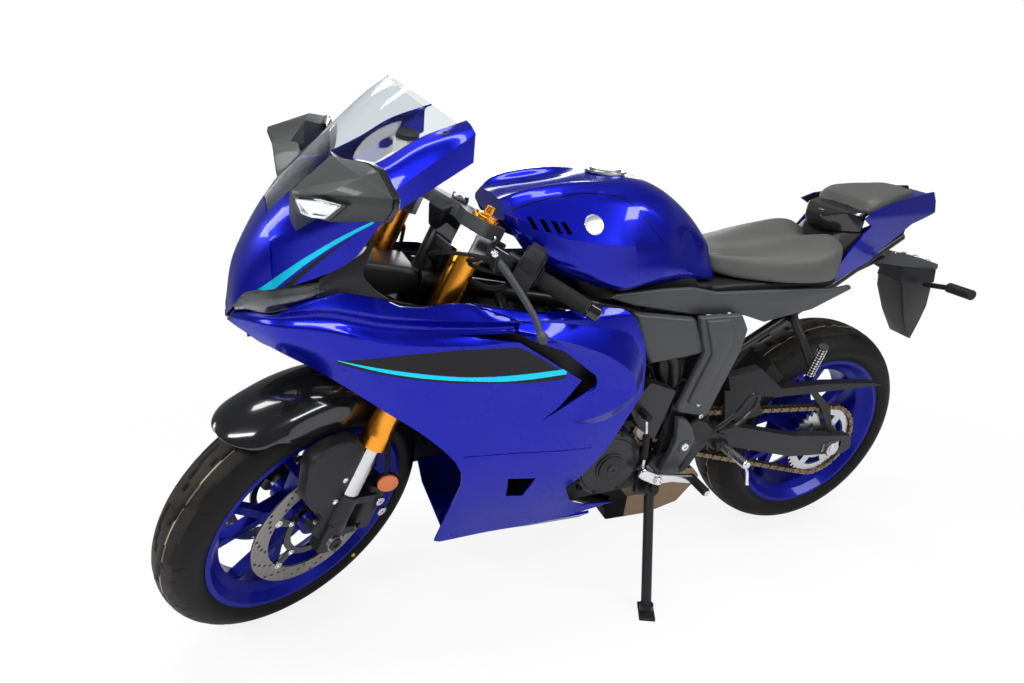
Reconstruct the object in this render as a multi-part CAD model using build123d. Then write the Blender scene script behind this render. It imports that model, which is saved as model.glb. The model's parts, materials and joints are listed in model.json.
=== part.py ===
"""A middleweight faired sport motorcycle, parked on its side stand with the bars on the left stop.

Every piece is drawn on the upright machine: X forward, Y to the rider's left, Z up, the rear
contact patch under the origin, millimetres. The steered pieces are then turned about the
steering axis, and the whole machine is leaned on to its stand, tyres and foot on Z = 0.
"""
from build123d import *
import os
from math import sin, cos, tan, radians, degrees, asin, acos, atan2, sqrt, pi, hypot

# ---- chassis geometry ---------------------------------------------------------------------
WHEELBASE = 1395.0
RAKE = 23.67              # steering axis, degrees from vertical
TRAIL = 90.0              # how far ahead of the front contact the axis meets the ground
LEAN = 12.5               # parked lean to the left, degrees
STEER_LOCK = 29.0         # steering travel to each side, degrees

# ---- wheels -------------------------------------------------------------------------------
FRONT_R, FRONT_W = 300.0, 120.0       # tyre outside radius and width
REAR_R, REAR_W = 315.0, 180.0
FRONT_CROWN, REAR_CROWN = 62.0, 100.0  # tread arc radius across the tyre
SHOULDER_F, SHOULDER_R = 46.0, 53.0    # drop from crown to the widest point
FLANGE_R, BEAD_R, WELL_R = 232.0, 218.0, 198.0
FRONT_RIM_W, REAR_RIM_W = 104.0, 156.0
RIM_WALL = 8.0
SPOKE_PAIRS = 5
FRONT_AXLE_R, REAR_AXLE_R = 12.5, 12.5
FRONT_DISC_R, FRONT_DISC_BAND, FRONT_DISC_Y = 149.0, 36.0, 66.0
REAR_DISC_R, REAR_DISC_BAND, REAR_DISC_Y = 122.5, 34.0, 96.0
DISC_T = 5.0

# ---- fork and bars ------------------------------------------------------------------------
FORK_OFFSET = 38.0        # fork legs ahead of the steering axis
FORK_Y = 105.0            # leg centre from the middle plane
OUTER_R, OUTER_LIP_R, STANCHION_R = 27.0, 30.0, 20.5
OUTER_LOW, OUTER_TOP = 231.0, 738.0    # along the leg, from the axle
LOWER_YOKE_S, TOP_YOKE_S = 470.0, 706.0
YOKE_T = 26.0
CLIP_T = 42.0             # clip-on clamp height, right under the top yoke
BAR_R, GRIP_R = 11.0, 17.0
BAR_START = (1100.0, 132.0, 924.0)
BAR_END = (997.0, 321.0, 862.0)

# ---- driveline ----------------------------------------------------------------------------
PITCH = 15.875            # chain pitch
REAR_TEETH, FRONT_TEETH = 42, 16
CHAIN_Y = 106.0
PINION = (590.0, 432.0)   # x, z of the output shaft
PIVOT = (520.0, 410.0)    # x, z of the swingarm pivot

WALL = 4.0                # fairing panel thickness
GAP = 0.4                 # seat clearance between bolted pieces

up = (-sin(radians(RAKE)), 0.0, cos(radians(RAKE)))
ahead = (cos(radians(RAKE)), 0.0, sin(radians(RAKE)))
STEER_AXIS = Axis((WHEELBASE + TRAIL, 0, 0), up)
# Leg frame: origin on the front axle, X square to the leg and forward, Z up the leg.
LEG = Plane(origin=(WHEELBASE, 0, FRONT_R), x_dir=ahead, z_dir=up)
STEM_F = -FORK_OFFSET     # the steering axis in the leg frame


# ---- drawing helpers ----------------------------------------------------------------------
def side_face(points, radius=0.0):
    """A face in the XZ plane from (x, z) corners, rounded by radius where it is given."""
    corners = [(x, 0, z) for x, z in points]
    if radius:
        return make_face(FilletPolyline(*corners, radius=radius, close=True))
    return make_face(Polyline(*corners, close=True))


def side_plate(points, y_low, y_high, radius=0.0):
    """A side-view outline pulled along Y."""
    face = side_face(points, radius)
    return Pos(0, y_low, 0) * extrude(face, amount=y_high - y_low, dir=(0, 1, 0))


def spun(profile):
    """A closed (radius, y) outline turned about the Y axis."""
    face = make_face(Polyline(*[(r, 0, y) for r, y in profile], close=True))
    return Rot(-90, 0, 0) * revolve(face, Axis.Z)


def turned(profile):
    """A closed (radius, z) outline turned about the Z axis."""
    return revolve(make_face(Polyline(*[(r, 0, z) for r, z in profile], close=True)), Axis.Z)


def rod(start, end, radius, bore=0.0):
    """A round bar from start to end, bored through where bore is given."""
    a, b = Vector(*start), Vector(*end)
    length = (b - a).length
    plane = Plane(origin=a, z_dir=(b - a))
    bar = Cylinder(radius, length, align=(Align.CENTER, Align.CENTER, Align.MIN))
    if bore:
        bar -= Cylinder(bore, length, align=(Align.CENTER, Align.CENTER, Align.MIN))
    return plane.location * bar


def bent(points, radius, bend, bore=0.0):
    """A tube through the points, with arcs of the bend radius at its corners."""
    path = FilletPolyline(*points, radius=bend) if len(points) > 2 else Polyline(*points)
    start = Plane(origin=path @ 0, z_dir=path % 0)
    solid = sweep(start * Circle(radius), path=path)
    if bore:
        solid -= sweep(start * Circle(bore), path=path)
    return solid


def section(x, points):
    """A closed wire in the plane X = x from (y, z) corners."""
    return Wire.make_polygon([(x, y, z) for y, z in points], close=True)


def ruled(sections):
    """A solid through (x, [(y, z), ...]) sections with straight sides."""
    return Solid.make_loft([section(x, pts) for x, pts in sections], ruled=True)


def mirrored(points):
    """A half section from top centre to bottom centre, closed over the middle plane."""
    return points + [(-y, z) for y, z in reversed(points) if y > 0]


def inset(points, wall):
    """An open (y, z) polyline moved inwards by the wall, square to itself."""
    out = []
    for i, (y, z) in enumerate(points):
        y0, z0 = points[max(i - 1, 0)]
        y1, z1 = points[min(i + 1, len(points) - 1)]
        length = hypot(y1 - y0, z1 - z0)
        out.append((y + (z1 - z0) / length * wall, z - (y1 - y0) / length * wall))
    return out


def panel(stations, wall=WALL):
    """A thin left-hand panel through open (y, z) polylines that run from top to bottom."""
    return ruled([(x, pts + list(reversed(inset(pts, wall)))) for x, pts in stations])


def both(shape):
    """A left-hand piece and its mirror image, as solids that don't touch."""
    return Compound(children=[*shape.solids(), *mirror(shape, Plane.XZ).solids()])


def steer_loc():
    """The turn about the steering axis from straight ahead to the left stop."""
    axis = Plane(origin=STEER_AXIS.position, z_dir=STEER_AXIS.direction)
    return axis.location * Rot(0, 0, STEER_LOCK) * axis.location.inverse()


# ---- parked attitude ----------------------------------------------------------------------
def lowest(centre, normal, crown_circle, crown):
    """Lowest point of a tyre whose tread arc is swept round a circle."""
    return centre.Z - crown_circle * sqrt(1 - normal.Z ** 2) - crown


def attitude(pitch):
    """Lean and pitch of the machine, still at its drawn height."""
    return Rot(0, pitch, 0) * Rot(-LEAN, 0, 0)


def contact_heights(pitch):
    turn = steer_loc()
    place = attitude(pitch)

    def point(loc, p):
        return (loc * Pos(*p)).position

    front, rear = (WHEELBASE, 0, FRONT_R), (0, 0, REAR_R)
    fc, fn = point(place * turn, front), point(place * turn, (WHEELBASE, 1, FRONT_R))
    rc, rn = point(place, rear), point(place, (0, 1, REAR_R))
    return (lowest(fc, fn - fc, FRONT_R - FRONT_CROWN, FRONT_CROWN),
            lowest(rc, rn - rc, REAR_R - REAR_CROWN, REAR_CROWN))


def parked():
    """The move that leans the machine with both tyres on Z = 0."""
    pitch = 0.0
    for _ in range(5):
        front, rear = contact_heights(pitch)
        pitch += degrees((front - rear) / WHEELBASE)
    front, rear = contact_heights(pitch)
    return Pos(0, 0, -(front + rear) / 2) * attitude(pitch)


PARK = parked()
STEERED = PARK * steer_loc()


# ---- wheels -------------------------------------------------------------------------------
def hoop(width, centre):
    """The rim's barrel, with bead seats and a drop centre."""
    half = width / 2
    lip, seat, well = half - 6, half - 20, half - 30
    outer = [(FLANGE_R, half), (FLANGE_R, lip), (BEAD_R, lip - 2), (BEAD_R - 3, seat), (WELL_R, well)]
    inner = [(WELL_R - RIM_WALL, well - 2), (BEAD_R - 3 - RIM_WALL, seat + 2), (FLANGE_R - 10, half)]
    profile = outer + [(r, -y) for r, y in reversed(outer)] + [(r, -y) for r, y in reversed(inner)] + inner
    return Pos(*centre) * spun(profile)


def y_spoke(angle, hub_r, fork_r, rim_r, spread, hub_t, rim_t):
    """One arm that leaves the hub single and reaches the rim as two."""
    def bar(r0, a0, w0, t0, r1, a1, w1, t1):
        """A tapered straight bar between two points given by radius and angle."""
        p0 = Vector(r0 * cos(radians(a0)), 0, r0 * sin(radians(a0)))
        p1 = Vector(r1 * cos(radians(a1)), 0, r1 * sin(radians(a1)))
        along = (p1 - p0).normalized()
        ends = []
        for p, w, t in ((p0, w0, t0), (p1, w1, t1)):
            plane = Plane(origin=p, x_dir=(0, 1, 0), z_dir=along)
            ends.append((plane * Rectangle(t, w)).face().outer_wire())
        return Solid.make_loft(ends, ruled=True)

    stem = bar(hub_r - 10, angle, 40, hub_t, fork_r + 8, angle, 30, rim_t)
    arms = [bar(fork_r - 4, angle + s * 1.5, 17, rim_t, rim_r, angle + s * spread, 17, rim_t - 4)
            for s in (-1, 1)]
    return stem + arms[0] + arms[1]


def wheel(width, centre, hub_r, hub_half, bore, fork_r, spread, rim_t):
    """A cast wheel: hoop, hub and paired spokes."""
    spokes = None
    for i in range(SPOKE_PAIRS):
        arm = y_spoke(90 + 360 / SPOKE_PAIRS * i, hub_r, fork_r, WELL_R - RIM_WALL + 4, spread,
                      hub_half * 1.1, rim_t)
        spokes = arm if spokes is None else spokes + arm
    hub = spun([(bore, -hub_half), (hub_r, -hub_half), (hub_r, hub_half), (bore, hub_half)])
    shaft = rod((0, -hub_half, 0), (0, hub_half, 0), bore)
    return hoop(width, centre) + Pos(*centre) * ((spokes + hub) - shaft)


def tyre(radius, width, crown, shoulder, rim_w, centre):
    """A tyre from bead to crown; its tread is one arc across."""
    half, lip = width / 2, rim_w / 2 - 6
    widest, bead = radius - shoulder, BEAD_R + GAP
    edges = [
        Line((bead, 0, -lip + 3), (FLANGE_R + 1, 0, -lip + GAP)),
        ThreePointArc((FLANGE_R + 1, 0, -lip + GAP), ((FLANGE_R + widest) / 2 + 1, 0, -half + 3), (widest, 0, -half)),
        ThreePointArc((widest, 0, -half), (radius, 0, 0), (widest, 0, half)),
        ThreePointArc((widest, 0, half), ((FLANGE_R + widest) / 2 + 1, 0, half - 3), (FLANGE_R + 1, 0, lip - GAP)),
        Line((FLANGE_R + 1, 0, lip - GAP), (bead, 0, lip - 3)),
        Line((bead, 0, lip - 3), (bead, 0, -lip + 3)),
    ]
    face = make_face(Wire(edges))
    return Pos(*centre) * (Rot(-90, 0, 0) * revolve(face, Axis.Z))


def disc(radius, band, y, centre, carrier_r, hub_r, arms=5):
    """A brake disc with its spider, from hub flange to rotor band."""
    low = y - DISC_T / 2
    ring = spun([(radius - band, low), (radius, low), (radius, low + DISC_T), (radius - band, low + DISC_T)])
    flange = spun([(hub_r, low), (carrier_r, low), (carrier_r, low + DISC_T), (hub_r, low + DISC_T)])
    spider = None
    for i in range(arms):
        a = 360 / arms * i + 54
        arm = Box(radius - band - carrier_r + 10, DISC_T, 16, align=(Align.MIN, Align.MIN, Align.CENTER))
        arm = Rot(0, -a, 0) * (Pos(carrier_r - 3, low, 0) * arm)
        spider = arm if spider is None else spider + arm
    return Pos(*centre) * (ring + flange + spider)


FRONT_C, REAR_C = (WHEELBASE, 0, FRONT_R), (0, 0, REAR_R)
FRONT_HUB_R, REAR_HUB_R = 34.0, 46.0
FRONT_HUB_HALF, REAR_HUB_HALF = 60.0, 88.0


def front_rim():
    return wheel(FRONT_RIM_W, FRONT_C, FRONT_HUB_R, FRONT_HUB_HALF, FRONT_AXLE_R + GAP, 95, 15, 26)


def rear_rim():
    return wheel(REAR_RIM_W, REAR_C, REAR_HUB_R, REAR_HUB_HALF, REAR_AXLE_R + GAP, 105, 15, 30)


def front_tyre():
    return tyre(FRONT_R, FRONT_W, FRONT_CROWN, SHOULDER_F, FRONT_RIM_W, FRONT_C)


def rear_tyre():
    return tyre(REAR_R, REAR_W, REAR_CROWN, SHOULDER_R, REAR_RIM_W, REAR_C)


def front_discs():
    one = disc(FRONT_DISC_R, FRONT_DISC_BAND, FRONT_DISC_Y, FRONT_C, 78, FRONT_AXLE_R + 14)
    boss = Pos(*FRONT_C) * spun([(FRONT_AXLE_R + 14, FRONT_HUB_HALF + GAP), (42, FRONT_HUB_HALF + GAP),
                                 (42, FRONT_DISC_Y), (FRONT_AXLE_R + 14, FRONT_DISC_Y)])
    return both(one + boss)


def rear_disc():
    one = disc(REAR_DISC_R, REAR_DISC_BAND, REAR_DISC_Y, REAR_C, 62, REAR_AXLE_R + 12)
    boss = Pos(*REAR_C) * spun([(REAR_AXLE_R + 12, REAR_HUB_HALF + GAP), (40, REAR_HUB_HALF + GAP),
                                (40, REAR_DISC_Y), (REAR_AXLE_R + 12, REAR_DISC_Y)])
    return mirror(one + boss, Plane.XZ)


def pitch_radius(teeth):
    return PITCH / (2 * sin(pi / teeth))


def rear_sprocket():
    """The driven sprocket, its teeth cut as a pattern round the rim."""
    r = pitch_radius(REAR_TEETH)
    points = []
    for i in range(REAR_TEETH):
        a = 360 / REAR_TEETH * i
        for offset, radius in ((-2.9, r - 5.0), (-1.0, r + 3.5), (1.0, r + 3.5), (2.9, r - 5.0)):
            t = radians(a + offset)
            points.append((radius * cos(t), radius * sin(t)))
    half = 3.5
    toothed = side_plate(points, CHAIN_Y - half, CHAIN_Y + half)
    toothed -= rod((0, CHAIN_Y - half, 0), (0, CHAIN_Y + half, 0), r - 26)
    carrier = spun([(REAR_AXLE_R + 12, REAR_HUB_HALF + GAP), (58, REAR_HUB_HALF + GAP), (58, CHAIN_Y + half),
                    (REAR_AXLE_R + 12, CHAIN_Y + half)])
    arms = None
    for i in range(6):
        arm = Pos(50, CHAIN_Y - half, 0) * Box(r - 72, 2 * half, 24, align=(Align.MIN, Align.MIN, Align.CENTER))
        arm = Rot(0, -60 * i, 0) * arm
        arms = arm if arms is None else arms + arm
    return Pos(*REAR_C) * (toothed + carrier + arms)


def drive_chain():
    """The chain as one fixed loop round both sprockets, slotted for the rear teeth."""
    big, small = pitch_radius(REAR_TEETH), pitch_radius(FRONT_TEETH)
    cx, cz = PINION[0], PINION[1] - REAR_R
    span = hypot(cx, cz)
    tilt = degrees(atan2(cz, cx))
    lean = degrees(asin((big - small) / span))
    straight = sqrt(span ** 2 - (big - small) ** 2)
    top_a, low_a = tilt + 90 - lean, tilt - 90 + lean
    wrap_big, wrap_small = radians(180 + 2 * lean) * big, radians(180 - 2 * lean) * small
    total = 2 * straight + wrap_big + wrap_small

    def at(s):
        """Place and heading (degrees) a distance s along the loop, from the big wheel's top."""
        s = s % total
        if s < straight:
            t = radians(top_a)
            h = top_a - 90
            return big * cos(t) + s * cos(radians(h)), big * sin(t) + s * sin(radians(h)), h
        s -= straight
        if s < wrap_small:
            a = top_a - degrees(s / small)
            return cx + small * cos(radians(a)), cz + small * sin(radians(a)), a - 90
        s -= wrap_small
        if s < straight:
            t, h = radians(low_a), low_a - 90
            return (cx + small * cos(t) + s * cos(radians(h)), cz + small * sin(t) + s * sin(radians(h)), h)
        s -= straight
        a = low_a - degrees(s / big)
        return big * cos(radians(a)), big * sin(radians(a)), a - 90

    links = round(total / PITCH / 2) * 2
    step = total / links
    outline_out, outline_in = [], []
    for i in range(links):
        x, z, h = at((i + 0.5) * step)
        n = radians(h + 90)
        for side, half_h in ((outline_out, 7.5), (outline_in, -7.5)):
            side.append((x + half_h * cos(n), z + half_h * sin(n)))
    face = make_face(Polyline(*[(x, 0, z) for x, z in outline_out], close=True)) \
        - make_face(Polyline(*[(x, 0, z) for x, z in outline_in], close=True))
    half_w = 8.5
    loop = Pos(0, CHAIN_Y - half_w, REAR_R) * extrude(face, amount=2 * half_w, dir=(0, 1, 0))
    slot = Pos(0, 0, REAR_R) * spun([(big - 30, CHAIN_Y - 4.5), (big + 4.5, CHAIN_Y - 4.5),
                                     (big + 4.5, CHAIN_Y + 4.5), (big - 30, CHAIN_Y + 4.5)])
    return loop - slot


# ---- steering assembly, in the leg frame (f forward, y left, s up the leg) ------------------
def leg(shape):
    return LEG.location * shape


def leg_plate(points, s_low, s_high, radius=0.0):
    """An outline in (f, y), square to the legs, pulled along them."""
    corners = [(f, y, 0) for f, y in points]
    wire = FilletPolyline(*corners, radius=radius, close=True) if radius else Polyline(*corners, close=True)
    return Pos(0, 0, s_low) * extrude(make_face(wire), amount=s_high - s_low, dir=(0, 0, 1))


def pole(f, y, s_low, s_high, radius):
    return Pos(f, y, s_low) * Cylinder(radius, s_high - s_low, align=(Align.CENTER, Align.CENTER, Align.MIN))


SEAL_S = OUTER_LOW - 6.0
BRACKET_TOP = 112.0        # top of the cast axle bracket on each stanchion
AXLE_HALF = FORK_Y + 23.0


def fork_outers():
    """Upside-down outer tubes with the thicker collar at their mouths, and their top caps."""
    profile = [(STANCHION_R + GAP, OUTER_LOW), (OUTER_LIP_R, OUTER_LOW), (OUTER_LIP_R, OUTER_LOW + 30),
               (OUTER_R + 1, OUTER_LOW + 44), (OUTER_R, OUTER_LOW + 60), (OUTER_R, OUTER_TOP),
               (0, OUTER_TOP), (0, OUTER_LOW + 60), (STANCHION_R + GAP, OUTER_LOW + 60)]
    cap = [(0, OUTER_TOP), (22, OUTER_TOP), (22, OUTER_TOP + 5), (10, OUTER_TOP + 7), (9, OUTER_TOP + 20), (0, OUTER_TOP + 20)]
    one = turned(profile) + turned(cap)
    return both(leg(Pos(0, FORK_Y, 0) * one))


def fork_lowers():
    """Stanchions and the cast brackets that clamp the axle and carry the calipers."""
    tube = pole(0, FORK_Y, BRACKET_TOP - 20, OUTER_LOW + 56, STANCHION_R)
    sleeve = pole(0, FORK_Y, 20, BRACKET_TOP, 25)
    eye = leg_plate([(-24, FORK_Y - 20), (24, FORK_Y - 20), (24, FORK_Y + 20), (-24, FORK_Y + 20)], -28, 40, 8)
    lug = leg_plate([(-78, FORK_Y - 6), (0, FORK_Y - 6), (0, FORK_Y + 12), (-78, FORK_Y + 12)], 84, 102)
    lug2 = leg_plate([(-62, FORK_Y - 6), (0, FORK_Y - 6), (0, FORK_Y + 12), (-62, FORK_Y + 12)], 4, 22)
    bore = rod((0, FORK_Y - 40, 0), (0, FORK_Y + 40, 0), FRONT_AXLE_R + 0.05)
    return both(leg(tube + sleeve + eye + lug + lug2 - bore))


def front_axle():
    """The hollow front spindle with its head on the left."""
    shaft = rod((0, -AXLE_HALF, 0), (0, AXLE_HALF - 3, 0), FRONT_AXLE_R, 8.0)
    head = rod((0, AXLE_HALF - 3, 0), (0, AXLE_HALF + 6, 0), 17, 8.0)
    spacers = None
    for side in (-1, 1):
        one = rod((0, side * (FRONT_DISC_Y + DISC_T / 2 + GAP), 0), (0, side * (FORK_Y - 20.3), 0), 19)
        spacers = one if spacers is None else spacers + one
    return leg(shaft + head + (spacers - rod((0, -200, 0), (0, 200, 0), 8.0)))


def yokes():
    """Top and bottom fork clamps, joined by the steering stem."""
    top = leg_plate([(-34, -FORK_Y - 30), (30, -FORK_Y - 34), (36, -FORK_Y + 20), (2, -40), (2, 40),
                     (36, FORK_Y - 20), (30, FORK_Y + 34), (-34, FORK_Y + 30), (-66, 30), (-66, -30)],
                    TOP_YOKE_S, TOP_YOKE_S + YOKE_T, 8)
    low = leg_plate([(-36, -FORK_Y - 32), (34, -FORK_Y - 32), (34, -FORK_Y + 30), (0, 0), (34, FORK_Y - 30),
                     (34, FORK_Y + 32), (-36, FORK_Y + 32), (-70, 34), (-70, -34)],
                    LOWER_YOKE_S, LOWER_YOKE_S + YOKE_T + 8, 8)
    stem = pole(STEM_F, 0, LOWER_YOKE_S, TOP_YOKE_S + YOKE_T, 14)
    nut = pole(STEM_F, 0, TOP_YOKE_S + YOKE_T, TOP_YOKE_S + YOKE_T + 9, 17)
    body = top + low + stem + nut
    for y in (-FORK_Y, FORK_Y):
        body -= pole(0, y, 0, 900, OUTER_R + 0.05)
    body -= pole(STEM_F, 0, 0, 900, 9.5)
    return leg(body)


def clip_ons():
    """Silver clamps under the top yoke with the black bars they carry."""
    clamp = leg_plate([(-30, FORK_Y - 26), (-6, FORK_Y - 34), (30, FORK_Y - 26), (32, FORK_Y + 26),
                       (0, FORK_Y + 36), (-44, FORK_Y + 38), (-58, FORK_Y + 26), (-50, FORK_Y + 4)],
                      TOP_YOKE_S - GAP - CLIP_T, TOP_YOKE_S - GAP, 7)
    clamp -= pole(0, FORK_Y, 0, 900, OUTER_R + 0.05)
    bar = rod(BAR_START, BAR_END, BAR_R)
    return both((leg(clamp) + bar) - leg(pole(0, FORK_Y, 0, 900, OUTER_R + 0.05)))


def along_bar(t):
    """A point on the left bar, t millimetres in from its end."""
    a, b = Vector(*BAR_END), Vector(*BAR_START)
    return a + (b - a).normalized() * t


BAR_DIR = (Vector(*BAR_START) - Vector(*BAR_END)).normalized()
BAR_END_CAP, GRIP_LENGTH = 30.0, 122.0


def grips():
    """Rubber grips over the bars and the weights in their ends."""
    def sleeve(t0, t1, r, bore):
        return rod(along_bar(t0), along_bar(t1), r, bore)
    grip = sleeve(1, GRIP_LENGTH, GRIP_R, BAR_R + 0.05) + sleeve(GRIP_LENGTH, GRIP_LENGTH + 4, GRIP_R + 5, BAR_R + 0.05)
    weight = rod(along_bar(-BAR_END_CAP), along_bar(-0.5), 14.5)
    weight += rod(along_bar(-0.5), along_bar(1), 14.5) - rod(along_bar(-1), along_bar(2), BAR_R + 0.05)
    return both(grip + weight - rod(along_bar(0), along_bar(200), BAR_R + 0.05))


RESERVOIR = (1098.0, -143.0, 1020.0)   # middle of the front brake's fluid cup, straight ahead


def controls():
    """Switch boxes, lever perches with their master cylinders, and both levers."""
    bar_plane = Plane(origin=along_bar(GRIP_LENGTH + 6), x_dir=up, z_dir=BAR_DIR)
    box = extrude(bar_plane * RectangleRounded(64, 46, 10), amount=38)
    box += Plane(origin=along_bar(GRIP_LENGTH + 22), x_dir=up, z_dir=BAR_DIR).location * (
        Pos(14, 0, 0) * Box(48, 36, 26))
    perch_at = along_bar(GRIP_LENGTH + 50)
    perch = rod(along_bar(GRIP_LENGTH + 46), along_bar(GRIP_LENGTH + 66), 19)
    tip = Vector(*perch_at) + Vector(52, 8, 2)
    perch += rod(perch_at, tip, 9)
    pivot = tip
    perch += rod(tip - Vector(*up) * 12, tip + Vector(*up) * 12, 13)
    lever = bent([pivot, pivot + Vector(8, 34, -8), pivot + Vector(-40, 120, -60), pivot + Vector(-88, 166, -92)], 6.5, 20)
    lever += Pos(*(pivot + Vector(-88, 166, -92))) * Sphere(10)
    one = box + perch + lever
    one -= rod(along_bar(-60), along_bar(260), BAR_R + 0.05)
    one -= rod(along_bar(0), along_bar(GRIP_LENGTH + 4), GRIP_R + 6)
    pair = [one, mirror(one, Plane.XZ)]
    cup = Vector(*RESERVOIR)
    reservoir = Pos(*cup) * (Cylinder(18, 34) + Pos(0, 0, 15) * Cylinder(20, 8))
    arm = (Vector(*perch_at) + tip) * 0.5
    stay = rod((cup.X, cup.Y, cup.Z - 10), (arm.X, -arm.Y, arm.Z), 6)
    pair[1] = pair[1] + reservoir + stay
    return Compound(children=[s for p in pair for s in p.solids()])


def front_mudguard():
    """A gloss arch that follows the tyre, with matt guards down the front of both legs."""
    stations = []
    for angle, radius, half in ((168, 322, 66), (154, 328, 68), (138, 335, 71), (118, 341, 73), (96, 346, 74), (76, 349, 73), (64, 350, 62), (57, 346, 42)):
        stations.append((angle, radius, half))
    wires = []
    for angle, radius, half in stations:
        t = radians(angle)
        plane = Plane(origin=(WHEELBASE, 0, FRONT_R), x_dir=(cos(t), 0, sin(t)), z_dir=(-sin(t), 0, cos(t)))
        pts = [(radius - 46, half), (radius - 18, half - 3), (radius - 4, half * 0.6), (radius, 0)]
        outer = pts + [(r, -y) for r, y in reversed(pts[:-1])]
        inner = [(r - (3.5 if abs(y) < half * 0.9 else 0.5), y * (half - 3.5) / half) for r, y in outer]
        wires.append(Wire.make_polygon([plane.from_local_coords((r, y, 0)) for r, y in outer + list(reversed(inner))], close=True))
    arch = Solid.make_loft(wires, ruled=True)
    guard = side_plate([(1470, 618), (1452, 500), (1404, 462), (1352, 462), (1318, 520), (1330, 600), (1345, 624), (1400, 634)],
                       FORK_Y - 31.2, FORK_Y - 28, 0)
    blade = leg_plate([(32, FORK_Y - 31.2), (36, FORK_Y - 31.2), (37, FORK_Y + 6), (28, FORK_Y + 24), (25, FORK_Y + 22), (33, FORK_Y + 4)], 44, 215)
    web = leg_plate([(12, FORK_Y - 31.2), (36, FORK_Y - 31.2), (36, FORK_Y - 28), (12, FORK_Y - 28)], 100, 215)
    boss = rod((0, FORK_Y - 31, BRACKET_TOP - 9), (0, FORK_Y - 25 - GAP, BRACKET_TOP - 9), 8)
    tab = leg_plate([(-12, FORK_Y - 31.2), (36, FORK_Y - 31.2), (36, FORK_Y - 28), (-12, FORK_Y - 28)], 94, 190)
    side = guard + leg(blade + web + boss + tab)
    side -= leg(pole(0, FORK_Y, BRACKET_TOP + 20, 900, OUTER_LIP_R + 1.5))
    return arch + side + mirror(side, Plane.XZ)


def front_calipers():
    """Radial four-piston calipers behind the legs, split over the disc."""
    body = leg_plate([(-118, FRONT_DISC_Y - 26), (-62, FRONT_DISC_Y - 26), (-56, FRONT_DISC_Y + 30),
                      (-64, FRONT_DISC_Y + 46), (-112, FRONT_DISC_Y + 46)], 4, 118, 8)
    slot = leg(rod((0, FRONT_DISC_Y - 7, 0), (0, FRONT_DISC_Y + 7, 0), FRONT_DISC_R + 5))
    for low in (3.6, 83.6):
        body -= leg_plate([(-79, FORK_Y - 6.4), (0, FORK_Y - 6.4), (0, FORK_Y + 13), (-79, FORK_Y + 13)], low, low + 18.8)
    return both(leg(body) - slot)


# ---- chassis ------------------------------------------------------------------------------

MAIN_RAIL = [(1150, 44, 812), (700, 106, 748), (560, 111, 620), (540, 120, 505)]
SUB_TOP = [(676, 104, 738), (120, 86, 770), (-134, 40, 882)]
SUB_LOW = [(500, 108, 556), (110, 86, 768)]


def frame():
    """Tubular backbone: head tube, main rails, cross tubes and the swingarm pivot plates."""
    rails = None
    for side in (1, -1):
        rail = bent([(x, side * y, z) for x, y, z in MAIN_RAIL], 19, 60)
        down = bent([(1000, side * 66, 792), (985, side * 130, 735), (930, side * 136, 545)], 13, 25)
        strut = rod((760, side * 120, 742), (930, side * 134, 560), 11)
        plate = side_plate([(560, 560), (470, 560), (440, 455), (452, 350), (500, 318), (548, 320), (580, 352), (560, 440)],
                           0, 17, 10)
        plate = Pos(0, 124 if side > 0 else -141, 0) * plate
        hanger = rod((930, side * (102 + GAP), 552), (930, side * 142, 552), 17)
        foot = rod((506, side * 112, 545), (506, side * 128, 545), 22)
        tie = rod((506, side * 112, 545), (550, side * 122, 570), 14)
        ear = inside_fairing(rod((790, 114, 752), (790, 260, 752), 9) + rod((790, 114, 752), (760, 106, 755), 9))
        post = rod((730, side * 101, 752), (730, side * 101, 806 - GAP), 9)
        one = rail + down + strut + plate + hanger + foot + tie + post + (ear if side > 0 else mirror(ear, Plane.XZ))
        rails = one if rails is None else rails + one
    cross = rod((760, -108, 757), (760, 108, 757), 14) + rod((632, -114, 686), (632, 114, 686), 15)
    head = leg(pole(STEM_F, 0, 508, 702, 30))
    gusset = side_plate([(1122, 806), (1104, 868), (1066, 850), (1070, 806)], -46, 46)
    body = rails + cross + head + gusset - leg(pole(STEM_F, 0, 500, 720, 14 + GAP))
    body -= rod((PIVOT[0], -160, PIVOT[1]), (PIVOT[0], 160, PIVOT[1]), 14 + GAP)
    return body


def subframe():
    """The bolted tail frame under the seats."""
    body = rod((300, -94, 754), (300, 94, 754), 9) + rod((300, -60, 754), (300, -60, 797.1), 8) + rod((300, 60, 754), (300, 60, 797.1), 8) + rod((60, -72, 802), (60, 72, 802), 9) + rod((-50, -56, 845), (-50, 56, 845), 9)
    for side in (1, -1):
        body += rod((-131, side * 40, 878), (-131, side * 40, 960.6), 7)
        top = bent([(x, side * y, z) for x, y, z in SUB_TOP], 12, 50)
        low = rod(*[(x, side * y, z) for x, y, z in SUB_LOW], 12)
        body += top + low
        body -= bent([(x, side * y, z) for x, y, z in MAIN_RAIL], 19 + GAP, 60)
        body -= rod((506, side * 111, 545), (506, side * 130, 545), 22 + GAP)
    return body


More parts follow.
